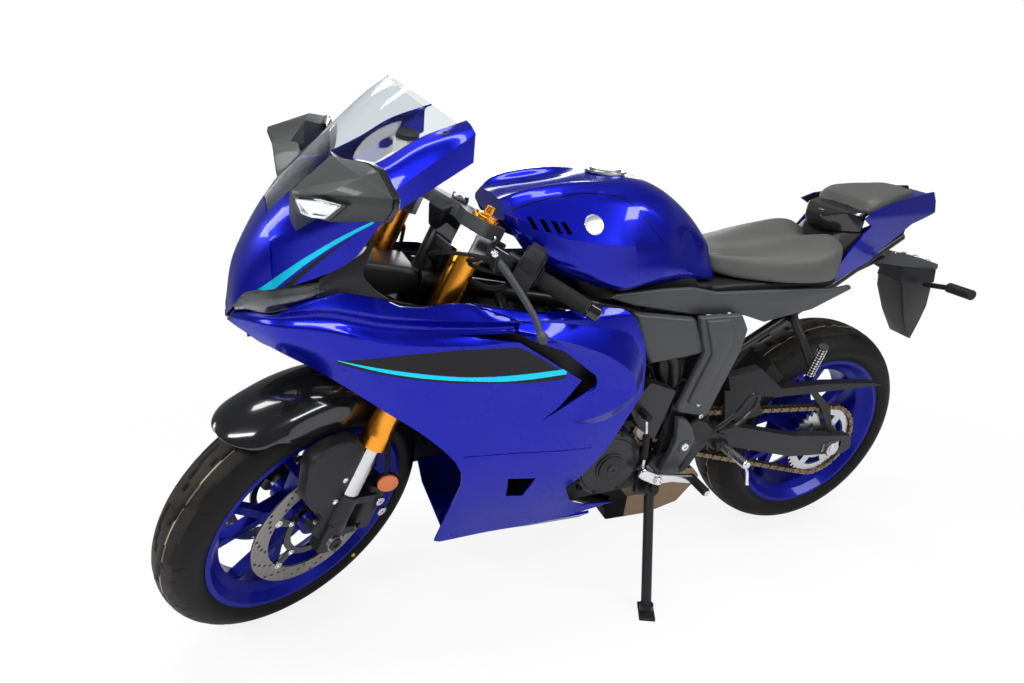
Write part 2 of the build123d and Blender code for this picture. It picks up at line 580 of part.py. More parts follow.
def swingarm():
    """Two box arms joined by a cross member that passes between the chain runs."""
    arm = side_plate([(432, 436), (340, 425), (150, 372), (-70, 342), (-84, 300), (-60, 286), (140, 306), (400, 384), (432, 388)],
                     120, 146, 10)
    arm -= side_plate([(30, 328.2), (30, 301.8), (-40, 301.8), (-40, 328.2)], 100, 160, 0)
    bridge = side_plate([(545, 424), (395, 434), (395, 392), (545, 396)], 86, 123.6, 8) + side_plate([(432, 432), (395, 432), (395, 392), (432, 392)], 86, 146)
    cross = side_plate([(552, 440), (370, 452), (352, 410), (372, 372), (552, 384)], -88, 88, 12)
    cross -= Pos(0, 0, REAR_R) * rod((0, -99, 0), (0, 99, 0), REAR_R + 16)
    right = mirror(arm + bridge, Plane.XZ)
    boss = rod((PIVOT[0], -107, PIVOT[1]), (PIVOT[0], 107, PIVOT[1]), 28)
    boss -= rod((PIVOT[0], 88, PIVOT[1]), (PIVOT[0], 124, PIVOT[1]), 28)
    boss -= rod((PIVOT[0], -124, PIVOT[1]), (PIVOT[0], -88, PIVOT[1]), 28)
    collar = rod((PIVOT[0], 88, PIVOT[1]), (PIVOT[0], 123.6, PIVOT[1]), 21)
    body = arm + right + bridge + cross + boss + collar + mirror(collar, Plane.XZ)
    body -= rod((PIVOT[0], -160, PIVOT[1]), (PIVOT[0], 160, PIVOT[1]), 14 + GAP)
    return body


def pivot_shaft():
    """The swingarm pivot bolt with its head and nut."""
    shaft = rod((PIVOT[0], -142, PIVOT[1]), (PIVOT[0], 142, PIVOT[1]), 14, 7)
    ends = rod((PIVOT[0], 141.4, PIVOT[1]), (PIVOT[0], 150, PIVOT[1]), 21, 7)
    return shaft + ends + mirror(ends, Plane.XZ)


def rear_axle():
    """The rear spindle, its spacers and the adjuster blocks in the arm slots."""
    shaft = rod((0, -160, REAR_R), (0, 160, REAR_R), REAR_AXLE_R)
    block = Pos(0, 0, REAR_R) * Pos(-4, 133, 0) * Box(56, 24, 25.6)
    head = rod((0, 146.4, REAR_R), (0, 158, REAR_R), 20)
    spacer = rod((0, 110, REAR_R), (0, 119.6, REAR_R), 19)
    one = block + head + spacer
    right = mirror(block + head, Plane.XZ) + rod((0, -119.6, REAR_R), (0, -99, REAR_R), 19)
    return shaft + one + right


def rear_caliper():
    """A single-piston caliper on the right arm, over the disc."""
    pad = side_plate([(96, 372), (166, 392), (150, 440), (84, 424)], -116, -72, 10)
    carrier = side_plate([(-16, 336), (40, 346), (112, 380), (96, 398), (22, 372), (-18, 352)], -119.6, -112, 0)
    slot = Pos(0, 0, REAR_R) * rod((0, -REAR_DISC_Y - 7, 0), (0, -REAR_DISC_Y + 7, 0), REAR_DISC_R + 5)
    return (pad - slot) + carrier


def chain_guard():
    """The black hugger over the tyre, run on as a guard over the upper chain."""
    arch = []
    for angle in (28, 48, 68, 88, 104):
        t = radians(angle)
        r = REAR_R + 16
        plane = Plane(origin=(0, 0, REAR_R), x_dir=(cos(t), 0, sin(t)), z_dir=(sin(t), 0, -cos(t)))
        outer = [(r - 46, 96), (r, 78), (r + 7, 0), (r, -78), (r - 46, -96)]
        inner = [(q - 4, y * 0.97) for q, y in outer]
        arch.append(Wire.make_polygon([plane.from_local_coords((q, y, 0)) for q, y in outer + list(reversed(inner))], close=True))
    hugger = Solid.make_loft(arch[:2], ruled=True)
    blade = side_plate([(397, 560), (300, 575), (214, 510), (60, 508), (-113, 492), (-150, 482), (77, 484), (225, 486), (300, 500), (374, 505)],
                       99, 124, 0)
    blade -= side_plate([(380, 553), (300, 566), (218, 500), (60, 498), (-110, 484), (225, 478), (300, 490)], 99, 119.5, 0)
    drop = side_plate([(398, 523), (300, 520), (255, 440), (300, 431), (374, 436)], 120.5, 124, 0)
    stay = side_plate([(84, 486), (20, 432), (-20, 349.2), (-4, 351.4), (50, 430), (110, 486)], 120.5, 124, 0)
    lug = side_plate([(302, 450), (340, 450), (340, 425.4), (302, 414.8)], 120.5, 124, 0)
    tab = side_plate([(300, 572), (225, 517), (235, 500), (300, 552)], 80, 101, 0)
    return hugger + blade + drop + stay + lug + tab


def rear_shock():
    """Coil-over unit from the frame cross tube to the swingarm, laid forward of the tyre."""
    low, high = Vector(430, 0, 466), Vector(632, 0, 686)
    line = (high - low).normalized()
    body = rod(low, high, 12) + rod(low + line * 70, high - line * 50, 27) + rod((632, -18, 686), (632, 18, 686), 24)
    for i in range(7):
        body += rod(low + line * (78 + 22 * i), low + line * (89 + 22 * i), 33)
    lug = side_plate([(440, 452.4), (470, 452.4), (452, 500), (420, 496), (412, 452.4)], -16, 16, 0)
    return body + lug - rod((632, -40, 686), (632, 40, 686), 15 + GAP)


# ---- engine -------------------------------------------------------------------------------
PIPE_Y = 62.0
PIPE_LINE = [(975, 668), (1018, 632), (998, 300), (950, 236), (735, 234), (640, 190)]


def engine():
    """Parallel twin: crankcase, sump, tilted cylinders and head as one heavy block."""
    case = side_plate([(552, 336), (606, 272), (900, 262), (950, 306), (952, 420), (900, 470), (640, 470), (560, 420)],
                      -118, 118, 24)
    case -= rod((PIVOT[0], -160, PIVOT[1]), (PIVOT[0], 160, PIVOT[1]), 34)
    sump = side_plate([(640, 274), (660, 230), (840, 226), (880, 266)], -44, 44, 10)
    barrel = side_plate([(760, 460), (936, 440), (1004, 640), (836, 700)], -102, 102, 16)
    head = side_plate([(826, 655), (998, 600), (1022, 665), (1000, 716), (880, 742), (838, 712)], -106, 106, 18)
    body = case + sump + barrel + head
    for i in range(5):
        body -= Pos(0, 0, 0) * side_plate([(756 + 11 * i, 480 + 31 * i), (950 + 11 * i, 462 + 31 * i),
                                           (952 + 11 * i, 468 + 31 * i), (758 + 11 * i, 486 + 31 * i)], 97, 120)
    upper = side_plate([(585, 470), (640, 560), (745, 590), (770, 470)], -95, 95, 12)
    body += upper
    body -= side_plate([(530, 358), (646, 366), (646, 490), (530, 490)], 92, 120)
    for y in (-PIPE_Y, PIPE_Y):
        body -= bent([(x, y, z) for x, z in PIPE_LINE], 19 + GAP, 30)
    return body


def engine_covers():
    """Generator cover on the left and clutch cover on the right."""
    seat = 118 + GAP
    left = Pos(722, 0, 388) * spun([(0, seat), (88, seat), (88, seat + 24), (80, seat + 30), (70, seat + 50),
                                    (38, seat + 56), (38, seat + 60), (0, seat + 60)])
    right = Pos(700, 0, 372) * spun([(0, seat), (104, seat), (104, seat + 22), (90, seat + 30), (74, seat + 54), (0, seat + 60)])
    case = side_plate([(860, 300), (930, 330), (930, 430), (850, 450)], seat, seat + 26, 12)
    left = left + case
    return Compound(children=[left, *mirror(right, Plane.XZ).solids()])


def sprocket_cover():
    """The angular black cover over the output sprocket."""
    return side_plate([(645, 590), (572, 562), (592, 480), (604, 436), (652, 470), (690, 530)], 126, 158, 6) \
        + side_plate([(650, 580), (580, 552), (604, 440), (650, 474)], 118 + GAP, 127, 6)


def drive_sprocket():
    """The small output sprocket inside the chain."""
    r = pitch_radius(FRONT_TEETH)
    shaft = rod((PINION[0], 92 + GAP, PINION[1]), (PINION[0], CHAIN_Y, PINION[1]), 13)
    return rod((PINION[0], CHAIN_Y - 4, PINION[1]), (PINION[0], CHAIN_Y + 4, PINION[1]), r - 9.5) + shaft


def radiator():
    """Radiator core behind the front wheel, with its side tanks and fan shroud."""
    core = Plane(origin=(1086, 0, 545), x_dir=(0, 1, 0), z_dir=(cos(radians(14)), 0, -sin(radians(14)))).location * (
        Box(290, 250, 26) + Pos(0, 0, -18) * Box(180, 180, 22))
    tanks = None
    for y in (-152, 152):
        one = rod((1058, y, 428), (1114, y, 660), 15)
        tanks = one if tanks is None else tanks + one
    stays = rod((1108, 152, 645), (962, 134, 650), 7) - rod((985, 130, 735), (930, 136, 545), 13 + GAP)
    stays = max(stays.solids(), key=lambda piece: piece.volume)
    ear = inside_fairing(rod((1086, 160, 545), (1086, 250, 545), 8))
    return core + tanks + stays + ear + mirror(stays + ear, Plane.XZ)


def exhaust():
    """Two down pipes to one collector box under the engine and a short outlet on the right."""
    pipes = None
    for y in (-PIPE_Y, PIPE_Y):
        one = bent([(x, y, z) for x, z in PIPE_LINE], 19, 30)
        pipes = one if pipes is None else pipes + one
    box = side_plate([(650, 150), (650, 206), (560, 214), (470, 276), (400, 270), (372, 240), (430, 168), (520, 146)],
                     -110, 84, 12)
    outlet = rod((440, -100, 232), (360, -150, 262), 26, 20)
    return pipes + box + outlet


# ---- bodywork: each table row is one X station, (y, z) from the top edge down ---------------
NOSE_ROWS = [
    (1502, [(0, 762), (8, 760), (13, 754), (16, 748)]),
    (1484, [(0, 852), (30, 837), (54, 812), (72, 786)]),
    (1452, [(0, 914), (48, 903), (82, 868), (98, 796)]),
    (1425, [(0, 955), (58, 945), (100, 905), (118, 815)]),
]
WING_ROWS = [
    (1425, [(58, 945), (80, 930), (100, 905), (118, 815)]),
    (1360, [(96, 1008), (122, 990), (142, 940), (144, 848)]),
    (1300, [(112, 1052), (140, 1024), (160, 978), (160, 892)]),
    (1246, [(119, 1080), (146, 1050), (170, 1010), (166, 945)]),
    (1180, [(119, 1102), (144, 1082), (163, 1052), (164, 1010)]),
    (1098, [(113, 1119), (142, 1116), (168, 1106), (168, 1052)]),
]
SCREEN_ROWS = [
    (1424, [(0, 958), (30, 955), (56, 948)]),
    (1360, [(0, 1026), (55, 1022), (94, 1010)]),
    (1300, [(0, 1087), (68, 1078), (109, 1055)]),
    (1240, [(0, 1149), (76, 1128), (116, 1083)]),
    (1180, [(0, 1200), (78, 1164), (116, 1105)]),
    (1112, [(0, 1250), (76, 1196), (110, 1119)]),
]
SIDE_ROWS = [
    (1500, [(8, 742), (10, 738), (12, 734), (10, 722), (6, 700)]),
    (1425, [(95, 790), (108, 765), (104, 735), (88, 700), (60, 640)]),
    (1345, [(130, 832), (152, 782), (156, 732), (135, 671), (100, 560)]),
    (1245, [(160, 836), (186, 785), (195, 715), (178, 607), (160, 400)]),
    (1110, [(186, 819), (212, 770), (222, 680), (200, 456), (150, 241)]),
    (1000, [(192, 800), (216, 760), (225, 660), (206, 440), (150, 235)]),
    (860, [(188, 800), (210, 740), (224, 650), (208, 420), (160, 240)]),
    (690, [(178, 790), (190, 740), (196, 640), (194, 430), (175, 270)]),
]
SIDE_OUTLINE = [
    (1502, 737), (1478, 769), (1426, 781), (1377, 815), (1278, 835), (1221, 815), (1110, 818), (1020, 802),
    (949, 794), (828, 796), (760, 782), (738, 762), (708, 693), (692, 595), (812, 405), (847, 375), (813, 314),
    (700, 288), (876, 256), (1065, 245), (1125, 241), (1105, 350), (1092, 456), (1160, 546), (1245, 607),
    (1345, 671), (1425, 708)]
SIDE_SLOT = [(1118, 766), (1009, 752), (860, 652), (902, 599), (938, 569), (824, 635), (822, 653), (909, 722), (1010, 765)]


def nose_cowl():
    """The pointed nose and the wings that run back along the screen."""
    rows = []
    for x, pts in NOSE_ROWS:
        full = [(-y, z) for y, z in reversed(pts[1:])] + pts
        inner = [(-y, z) for y, z in reversed([(max(y - 4, 0.5), z - 4) for y, z in pts[1:]])] + \
            [(0, pts[0][1] - 4)] + [(max(y - 4, 0.5), z - 4) for y, z in pts[1:]]
        rows.append((x, full + list(reversed(inner))))
    front = ruled(rows)
    wing = panel(WING_ROWS)
    wing -= Pos(1426, 0, 900) * Box(8, 400, 400)
    return front + wing + mirror(wing, Plane.XZ)


def windscreen():
    """The clear double-bubble screen, cut back from its peak to the wing corners."""
    rows = []
    for x, pts in SCREEN_ROWS:
        full = [(-y, z) for y, z in reversed(pts[1:])] + pts
        rows.append((x, full + [(y * 0.97, z - 3) for y, z in reversed(full)]))
    shell = ruled(rows)
    cut = side_plate([(1214, 1176), (1112, 1112), (1060, 1100), (1060, 1400), (1330, 1400)], -200, 200)
    return shell - cut


def side_fairing():
    """The long side panel, pierced by the slot behind its front blade."""
    shell = panel(SIDE_ROWS)
    keep = side_plate(SIDE_OUTLINE, 0, 240)
    hole = side_plate(SIDE_SLOT, 0, 240)
    return both((shell & keep) - hole)


def inside_fairing(shape):
    """What is left of a left-hand stay inside the side panel, seated on it."""
    cut = shape - panel(SIDE_ROWS, WALL + GAP)
    return min(cut.solids(), key=lambda piece: piece.center().Y)


def fairing_inner():
    """Black inner panels behind the slots."""
    slot = side_plate([(1150, 800), (1000, 784), (885, 760), (790, 672), (790, 610), (930, 520), (1010, 520), (960, 600), (1010, 700), (1150, 740)],
                      176, 179.5, 0)
    for x, z in ((1128, 772), (976, 540)):
        slot += inside_fairing(rod((x, 178, z), (x, 260, z), 8))
    return both(slot)


def belly_pan():
    """The under-fairing that joins both sides below the engine."""
    rows = [(1086, 98, 215), (1040, 104, 208), (880, 112, 203), (748, 118, 206)]
    wires = []
    for x, y, z in rows:
        pts = [(-160, 252), (-y, z), (y, z), (160, 252)]
        wires.append((x, pts + [(157, 258), (y - 3, z + 4), (-y + 3, z + 4), (-157, 258)]))
    pan = ruled(wires)
    for side in (1, -1):
        cut = panel(SIDE_ROWS, WALL + GAP)
        pan -= cut if side > 0 else mirror(cut, Plane.XZ)
    return max(pan.solids(), key=lambda piece: piece.volume)


def fuel_tank():
    """The tank cover: roof, knee recesses and the skirts over the frame."""
    rows = [
        (1004, 982, (76, 957), (84, 946), (88, 914), 884),
        (960, 1000, (97, 976), (124, 932), (134, 888), 862),
        (920, 1008, (99, 990), (142, 922), (149, 866), 846),
        (850, 1016, (97, 1000), (157, 913), (151, 838), 828),
        (760, 1020, (97, 992), (150, 902), (144, 808), 806),
        (700, 1015, (100, 972), (132, 898), (134, 812), 806),
        (640, 996, (106, 932), (118, 892), (126, 820), 806),
        (580, 963, (76, 930), (92, 880), (112, 822), 804),
        (525, 922, (60, 896), (78, 860), (98, 808), 800),
        (480, 880, (45, 868), (60, 842), (84, 802), 798),
    ]
    wires = []
    for x, top, seam, crease, low, bottom in rows:
        half = [(0, top), (seam[0] * 0.6, top - (top - seam[1]) * 0.22), seam, crease, low, (low[0] - 18, bottom), (0, bottom)]
        wires.append((x, mirrored(half)))
    return ruled(wires)


def fuel_cap():
    """The round filler cap in its ring."""
    return Pos(752, 0, 1020 + GAP) * Rot(0, 1.5, 0) * (Cylinder(44, 5, align=(Align.CENTER, Align.CENTER, Align.MIN)) +
                                                       Pos(0, 0, 5) * Cylinder(34, 4, align=(Align.CENTER, Align.CENTER, Align.MIN)))


def rider_seat():
    """The rider's saddle, a padded block on its base."""
    rows = [(479, 60, 838, 850, 812), (440, 85, 832, 857, 803), (360, 118, 828, 864, 799), (280, 138, 828, 876, 797),
            (200, 142, 835, 887, 797), (164, 126, 842, 889, 798), (142, 103, 850, 888, 802), (108, 92, 858, 880, 812)]
    wires = []
    for x, half, edge, top, low in rows:
        wires.append((x, mirrored([(0, top), (half * 0.62, top - 3), (half * 0.93, (top + edge) / 2 + 4), (half, edge), (half - 12, low), (0, low)])))
    return ruled(wires)


def passenger_seat():
    """The small rear pad."""
    rows = [(150, 26, 984, 991, 972), (110, 55, 972, 996, 955), (55, 85, 962, 999, 945), (0, 72, 970, 1001, 950),
            (-60, 56, 978, 1002, 958), (-121.6, 38, 988, 1002, 968)]
    wires = []
    for x, half, edge, top, low in rows:
        wires.append((x, mirrored([(0, top), (half * 0.6, top - 4), (half, edge), (half - 5, low), (0, low)])))
    return ruled(wires)


def tail_cowl():
    """Both flanks of the tail, joined behind the pad."""
    flank = side_plate([(135, 792), (118, 845), (84, 890), (50, 928), (92, 947), (74, 966), (-62, 990), (-156, 999), (-300, 1006),
                        (-322, 974), (-296, 954), (-189, 945), (-109, 926), (-64, 886), (24, 822), (78, 800)], -9, 0, 0)
    turn = Pos(131, 118, 0) * Rot(0, 0, 11.5) * Pos(-131, 0, 0)
    left = turn * flank
    rows = [(-112, 60, 962, 985), (-190, 48, 958, 994), (-290, 28, 962, 1000)]
    deck = ruled([(x, [(-y, low), (y, low), (y, top), (-y, top)]) for x, y, low, top in rows])
    deck -= Pos(-112, 0, 985) * Box(20, 84, 60)
    return left + mirror(left, Plane.XZ) + deck


def tail_cover():
    """The black cover in front of the rear pad, with the seat lock."""
    rows = [(158, 24, 942, 964), (118, 62, 900, 953), (84, 98.6, 884, 948), (62, 94.2, 880, 945)]
    face = ruled([(x, [(-y, low + 14), (-y * 0.7, low), (y * 0.7, low), (y, low + 14), (y, top), (-y, top)]) for x, y, low, top in rows])
    lock = Plane(origin=(132, 0, 932), x_dir=(0, 1, 0), z_dir=(0.86, 0, 0.5)).location * Cylinder(11, 14)
    return face + lock


def tail_lamp():
    """The lens under the tail tip."""
    return side_plate([(-191, 957.6), (-262, 960.4), (-270, 944), (-205, 936)], -22, 22, 0)


def side_covers():
    """Dark covers under the seat, from the tank skirt to the tail."""
    outer = side_plate([(772, 788), (761, 797), (640, 803), (567, 803), (499, 789), (390, 788), (130, 783), (60, 800), (54, 793), (208, 732),
                        (344, 708), (441, 739), (495, 735), (561, 740), (706, 768)], 128, 134, 0)
    box = side_plate([(716, 758), (569, 734), (522, 655), (560, 645), (652, 634), (676, 672)], 133, 150, 6)
    stays = rod((300, 106.3, 753), (300, 129, 753), 8) + rod((480, 110.6, 748), (480, 129, 748), 7)
    stay = rod((630, 127.9, 684), (630, 134, 684), 10)
    return both((outer + stays) + (box + stay))


def frame_covers():
    """The boomerang covers over the frame, down to the pivot plates."""
    cover = side_plate([(549, 730), (446, 728), (413, 706), (418, 651), (470, 481), (553, 504), (562, 517), (519, 655)], 152, 158, 0)
    stand_off = rod((484, 141 + GAP, 538), (484, 153, 538), 9) + rod((510, 141 + GAP, 510), (510, 153, 510), 9)
    return both(cover + stand_off)


def rear_fender():
    """Inner guard under the tail and the plate holder that hangs from it."""
    tray = side_plate([(440, 706), (300, 728), (60, 776), (-80, 832), (-80, 826), (60, 770), (300, 722), (440, 700)], -46, 46, 0)
    arm = side_plate([(-50, 812), (-90, 838), (-290, 800), (-316, 803), (-314, 765), (-240, 740), (-179, 760)], -24, 24, 0)
    plate = side_plate([(-190, 752), (-314, 765), (-316, 640), (-340, 573), (-330, 570), (-263, 607), (-220, 700)], -60, 60, 0)
    plate -= side_plate([(-180, 770), (-302, 762), (-306, 640), (-332, 560), (-260, 560), (-140, 660)], -55, 55, 0)
    for x, z, tube in ((300, 724, 745), (60, 772, 793), (-50, 824, 836)):
        for y in (-30, 30):
            tray += rod((x, y, z), (x, y, tube - GAP), 6)
    return tray + arm + plate


def rear_indicators():
    """Rear turn lamps on their stalks."""
    stalk = rod((-262, 60 + GAP, 752), (-262, 72, 752), 7) + rod((-262, 68, 752), (-246, 150, 772), 7)
    lamp = rod((-247, 140, 771), (-230, 212, 778), 13)
    return both(stalk + lamp)


def mirrors():
    """Mirror heads with lamps in their noses, on arms from the nose cowl."""
    rows = [
        (1396, 205, 285, 985, 1006),
        (1372, 190, 318, 976, 1030),
        (1330, 184, 340, 974, 1058),
        (1270, 186, 348, 980, 1074),
    ]
    head = ruled([(x, [(y0, z0 + 8), (y0 + 12, z0), (y1 - 14, z0 + 4), (y1, z0 + 22), (y1 - 10, z1), (y0 + 14, z1 - 12)]) for x, y0, y1, z0, z1 in rows])
    glass = ruled([(x, [(192, 990), (204, 984), (332, 988), (344, 1004), (334, 1069), (204, 1056)]) for x in (1269, 1264)])
    arm = bent([(1362, 134, 972), (1372, 168, 976), (1374, 212, 990)], 14, 14)
    foot = Plane(origin=(1362, 142, 968), z_dir=(0.2, 0.85, 0.45)).location * Cylinder(24, 12)
    body = head + glass + arm + foot
    wing = panel([(x, [(y + 0.5, z + 0.5) for y, z in pts]) for x, pts in WING_ROWS], 20)
    return both(body - wing)


def position_lamps():
    """Slim lamps in black frames either side of the nose."""
    lamp = ruled([(1484, [(68.3, 781.7), (72.3, 785.7), (74, 776), (60, 768)]), (1452, [(94.3, 791.7), (98.3, 795.7), (97, 784), (82, 776)]),
                  (1425, [(114.3, 810.7), (118.3, 814.7), (116, 800), (100, 788)]), (1354, [(140, 836), (147, 842), (146, 834), (130, 830)])])
    return both(lamp)


def headlamp():
    """The single projector in the intake under the nose."""
    barrel = Plane(origin=(1440, 0, 722), z_dir=(1, 0, 0)).location * Cylinder(27, 60)
    box = side_plate([(1444, 767), (1400, 784), (1352, 762), (1410, 708), (1444, 735)], -60, 60, 6)
    box += side_plate([(1470, 757), (1436, 770), (1436, 730)], -40, 40, 0)
    return barrel + box


def instrument_panel():
    """The dash on its stay behind the screen."""
    stay = side_plate([(1342, 889), (1300, 960), (1262, 992), (1254, 984), (1290, 950), (1325, 884.8)], -26, 26)
    screen = Plane(origin=(1268, 0, 1000), x_dir=(0, 1, 0), z_dir=(-0.6, 0, 0.8)).location * Box(150, 84, 20)
    return stay + screen


def cowl_stay():
    """The black carrier from the head tube out to the nose and the dash."""
    beam = side_plate([(1140, 800), (1140, 822), (1340, 888), (1372, 852), (1345, 822), (1270, 808), (1180, 800)], -24.5, 24.5)
    cross = side_plate([(1338, 860), (1338, 882), (1360, 878), (1360, 858)], -150, 150, 0)
    for side in (1, -1):
        cut = panel(WING_ROWS, WALL + GAP)
        cross -= cut if side > 0 else mirror(cut, Plane.XZ)
    cross = max(cross.solids(), key=lambda piece: piece.volume)
    return beam + cross - leg(pole(STEM_F, 0, 400, 800, 30 + GAP)) - side_plate([(1060, 780), (1124, 780), (1112, 900), (1060, 900)], -60, 60)


# ---- foot controls ------------------------------------------------------------------------
def footrests():
    """Rider pegs with their hangers on both sides."""
    hanger = side_plate([(506, 478), (462, 470), (400, 430), (392, 396), (420, 380), (452, 404), (476, 424), (512, 462)], 160, 168, 8)
    peg = rod((412, 160, 402), (404, 262, 398), 12) + rod((404, 258, 398), (400, 268, 360), 4)
    spacer = rod((492, 141 + GAP, 464), (492, 162, 464), 9) + rod((460, 141 + GAP, 440), (460, 162, 440), 9)
    return both(hanger + peg + spacer)


def passenger_pegs():
    """Rear pegs on their long hangers."""
    hanger = bent([(238, 113, 714), (236, 123, 694), (222, 146, 660), (190, 172, 590), (192, 178, 574)], 10, 12)
    pad = rod((236, 105.5, 699), (236, 122, 699), 9)
    peg = rod((196, 176, 578), (224, 214, 672), 11)
    return both(hanger + pad + peg)


def gear_lever():
    """Gear lever, its rod and the rubber toe piece."""
    lever = side_plate([(650, 384), (606, 364), (560, 356), (498, 342), (498, 324), (560, 336), (612, 338), (654, 366)],
                       190, 202, 0)
    toe = rod((498, 186, 333), (498, 256, 333), 11)
    pivot = rod((604, 153 + GAP, 351), (604, 206, 351), 12)
    link = side_plate([(636, 372), (648, 520), (657, 520), (645, 372)], 178, 186, 0)
    low_eye = rod((641, 175, 374), (641, 206, 374), 8)
    top_eye = rod((652, 158 + GAP, 518), (652, 190, 518), 8)
    return lever + toe + pivot + link + low_eye + top_eye


def brake_pedal():
    """Rear brake pedal on the right, and its master cylinder."""
    pedal = bent([(505, -152, 345), (545, -158, 338), (588, -210, 344)], 7, 14)
    pad = rod((584, -202, 344), (606, -230, 347), 12)
    pivot = rod((505, -141 - GAP, 345), (505, -160, 345), 14)
    cylinder = rod((487, -149.4, 392), (487, -149.4, 450), 8)
    return Compound(children=[pedal + pad + pivot, cylinder])


# ---- side stand ---------------------------------------------------------------------------
STAND_PIVOT = Vector(598, 153, 296)
STAND_BOSS = 11.2         # how far the bracket's boss stands up the pin
STAND_TILT = 30.0         # the pin leans up and out, so the leg folds in along the machine
STAND_PIN = Vector(0, cos(radians(STAND_TILT)), sin(radians(STAND_TILT)))
STAND_FOOT = Vector(654.6, 325.8, 72)
GROUND = PARK.inverse()


def stand_bracket():
    """The lug bolted to the pivot plate, with the pin the stand turns on."""
    lug = side_plate([(506, 326), (524, 388), (590, 378), (626, 334), (622, 276), (578, 270)], 141 + GAP, 153, 8)
    boss = rod(STAND_PIVOT - STAND_PIN * 8, STAND_PIVOT + STAND_PIN * STAND_BOSS, 17)
    pin = rod(STAND_PIVOT, STAND_PIVOT + STAND_PIN * 40, 8)
    return lug + boss + pin


def side_stand():
    """The stand leg, with its eye on the pin and its foot on the ground plane."""
    b = STAND_FOOT
    eye_low, eye_high = STAND_PIVOT + STAND_PIN * (STAND_BOSS + GAP), STAND_PIVOT + STAND_PIN * 34
    middle = (eye_low + eye_high) * 0.5
    leg_bar = rod(middle + Vector(4, 8, -16), (b.X - 3, b.Y - 8, b.Z + 12), 12)
    eye = rod(eye_low, eye_high, 19)
    ground_at = PARK * Pos(b.X, b.Y, b.Z)
    spot = ground_at.position
    pad = Pos(spot.X, spot.Y, 0) * Rot(0, 0, 62) * (Pos(0, 0, 4) * Box(62, 36, 8) + Pos(0, 0, 8) * Cylinder(16, 16, align=(Align.CENTER, Align.CENTER, Align.MIN)))
    return (leg_bar + eye) - rod(STAND_PIVOT, STAND_PIVOT + STAND_PIN * 60, 8 + GAP) - rod(STAND_PIVOT - STAND_PIN * 10, eye_low, 26) + GROUND * pad


# ---- what stands in which moving body, and the export ---------------------------------------
CHASSIS, STEERING, FRONT_WHEEL, REAR_WHEEL, STAND = "chassis", "steering", "front_wheel", "rear_wheel", "side_stand"
PIECES = [
    ("frame", frame, CHASSIS), ("subframe", subframe, CHASSIS), ("swingarm", swingarm, CHASSIS),
    ("pivot_shaft", pivot_shaft, CHASSIS), ("rear_axle", rear_axle, CHASSIS), ("rear_caliper", rear_caliper, CHASSIS),
    ("chain_guard", chain_guard, CHASSIS), ("rear_shock", rear_shock, CHASSIS), ("drive_chain", drive_chain, CHASSIS),
    ("drive_sprocket", drive_sprocket, CHASSIS), ("engine", engine, CHASSIS), ("engine_covers", engine_covers, CHASSIS),
    ("sprocket_cover", sprocket_cover, CHASSIS), ("radiator", radiator, CHASSIS), ("exhaust", exhaust, CHASSIS),
    ("nose_cowl", nose_cowl, CHASSIS), ("windscreen", windscreen, CHASSIS), ("cowl_stay", cowl_stay, CHASSIS),
    ("headlamp", headlamp, CHASSIS), ("position_lamps", position_lamps, CHASSIS), ("mirrors", mirrors, CHASSIS),
    ("instrument_panel", instrument_panel, CHASSIS), ("side_fairings", side_fairing, CHASSIS),
    ("fairing_inner", fairing_inner, CHASSIS), ("belly_pan", belly_pan, CHASSIS), ("fuel_tank", fuel_tank, CHASSIS),
    ("fuel_cap", fuel_cap, CHASSIS), ("rider_seat", rider_seat, CHASSIS), ("passenger_seat", passenger_seat, CHASSIS),
    ("tail_cowl", tail_cowl, CHASSIS), ("tail_cover", tail_cover, CHASSIS), ("tail_lamp", tail_lamp, CHASSIS),
    ("side_covers", side_covers, CHASSIS), ("frame_covers", frame_covers, CHASSIS), ("rear_fender", rear_fender, CHASSIS),
    ("rear_indicators", rear_indicators, CHASSIS), ("footrests", footrests, CHASSIS), ("passenger_pegs", passenger_pegs, CHASSIS),
    ("gear_lever", gear_lever, CHASSIS), ("brake_pedal", brake_pedal, CHASSIS), ("stand_bracket", stand_bracket, CHASSIS),
    ("yokes", yokes, STEERING), ("fork_outers", fork_outers, STEERING), ("fork_lowers", fork_lowers, STEERING),
    ("front_axle", front_axle, STEERING), ("front_calipers", front_calipers, STEERING), ("clip_ons", clip_ons, STEERING),
    ("grips", grips, STEERING), ("controls", controls, STEERING), ("front_mudguard", front_mudguard, STEERING),
    ("front_rim", front_rim, FRONT_WHEEL), ("front_tyre", front_tyre, FRONT_WHEEL), ("front_discs", front_discs, FRONT_WHEEL),
    ("rear_rim", rear_rim, REAR_WHEEL), ("rear_tyre", rear_tyre, REAR_WHEEL), ("rear_disc", rear_disc, REAR_WHEEL),
    ("rear_sprocket", rear_sprocket, REAR_WHEEL),
    ("side_stand", side_stand, STAND),
]


def build():
    """Every piece in its parked place, with the origin under the middle of the whole box."""
    placed = []
    for name, draw, body in PIECES:
        place = STEERED if body in (STEERING, FRONT_WHEEL) else PARK
        placed.append((name, place * draw()))
    boxes = [shape.bounding_box() for _, shape in placed]
    low = [min(getattr(b.min, a) for b in boxes) for a in "XYZ"]
    high = [max(getattr(b.max, a) for b in boxes) for a in "XYZ"]
    shift = Pos(-(low[0] + high[0]) / 2, -(low[1] + high[1]) / 2, -low[2])
    return [(name, shift * shape) for name, shape in placed], shift


if __name__ == "__main__":
    os.makedirs("parts", exist_ok=True)
    shapes, _ = build()
    for name, shape in shapes:
        export_step(shape, f"parts/{name}.step")
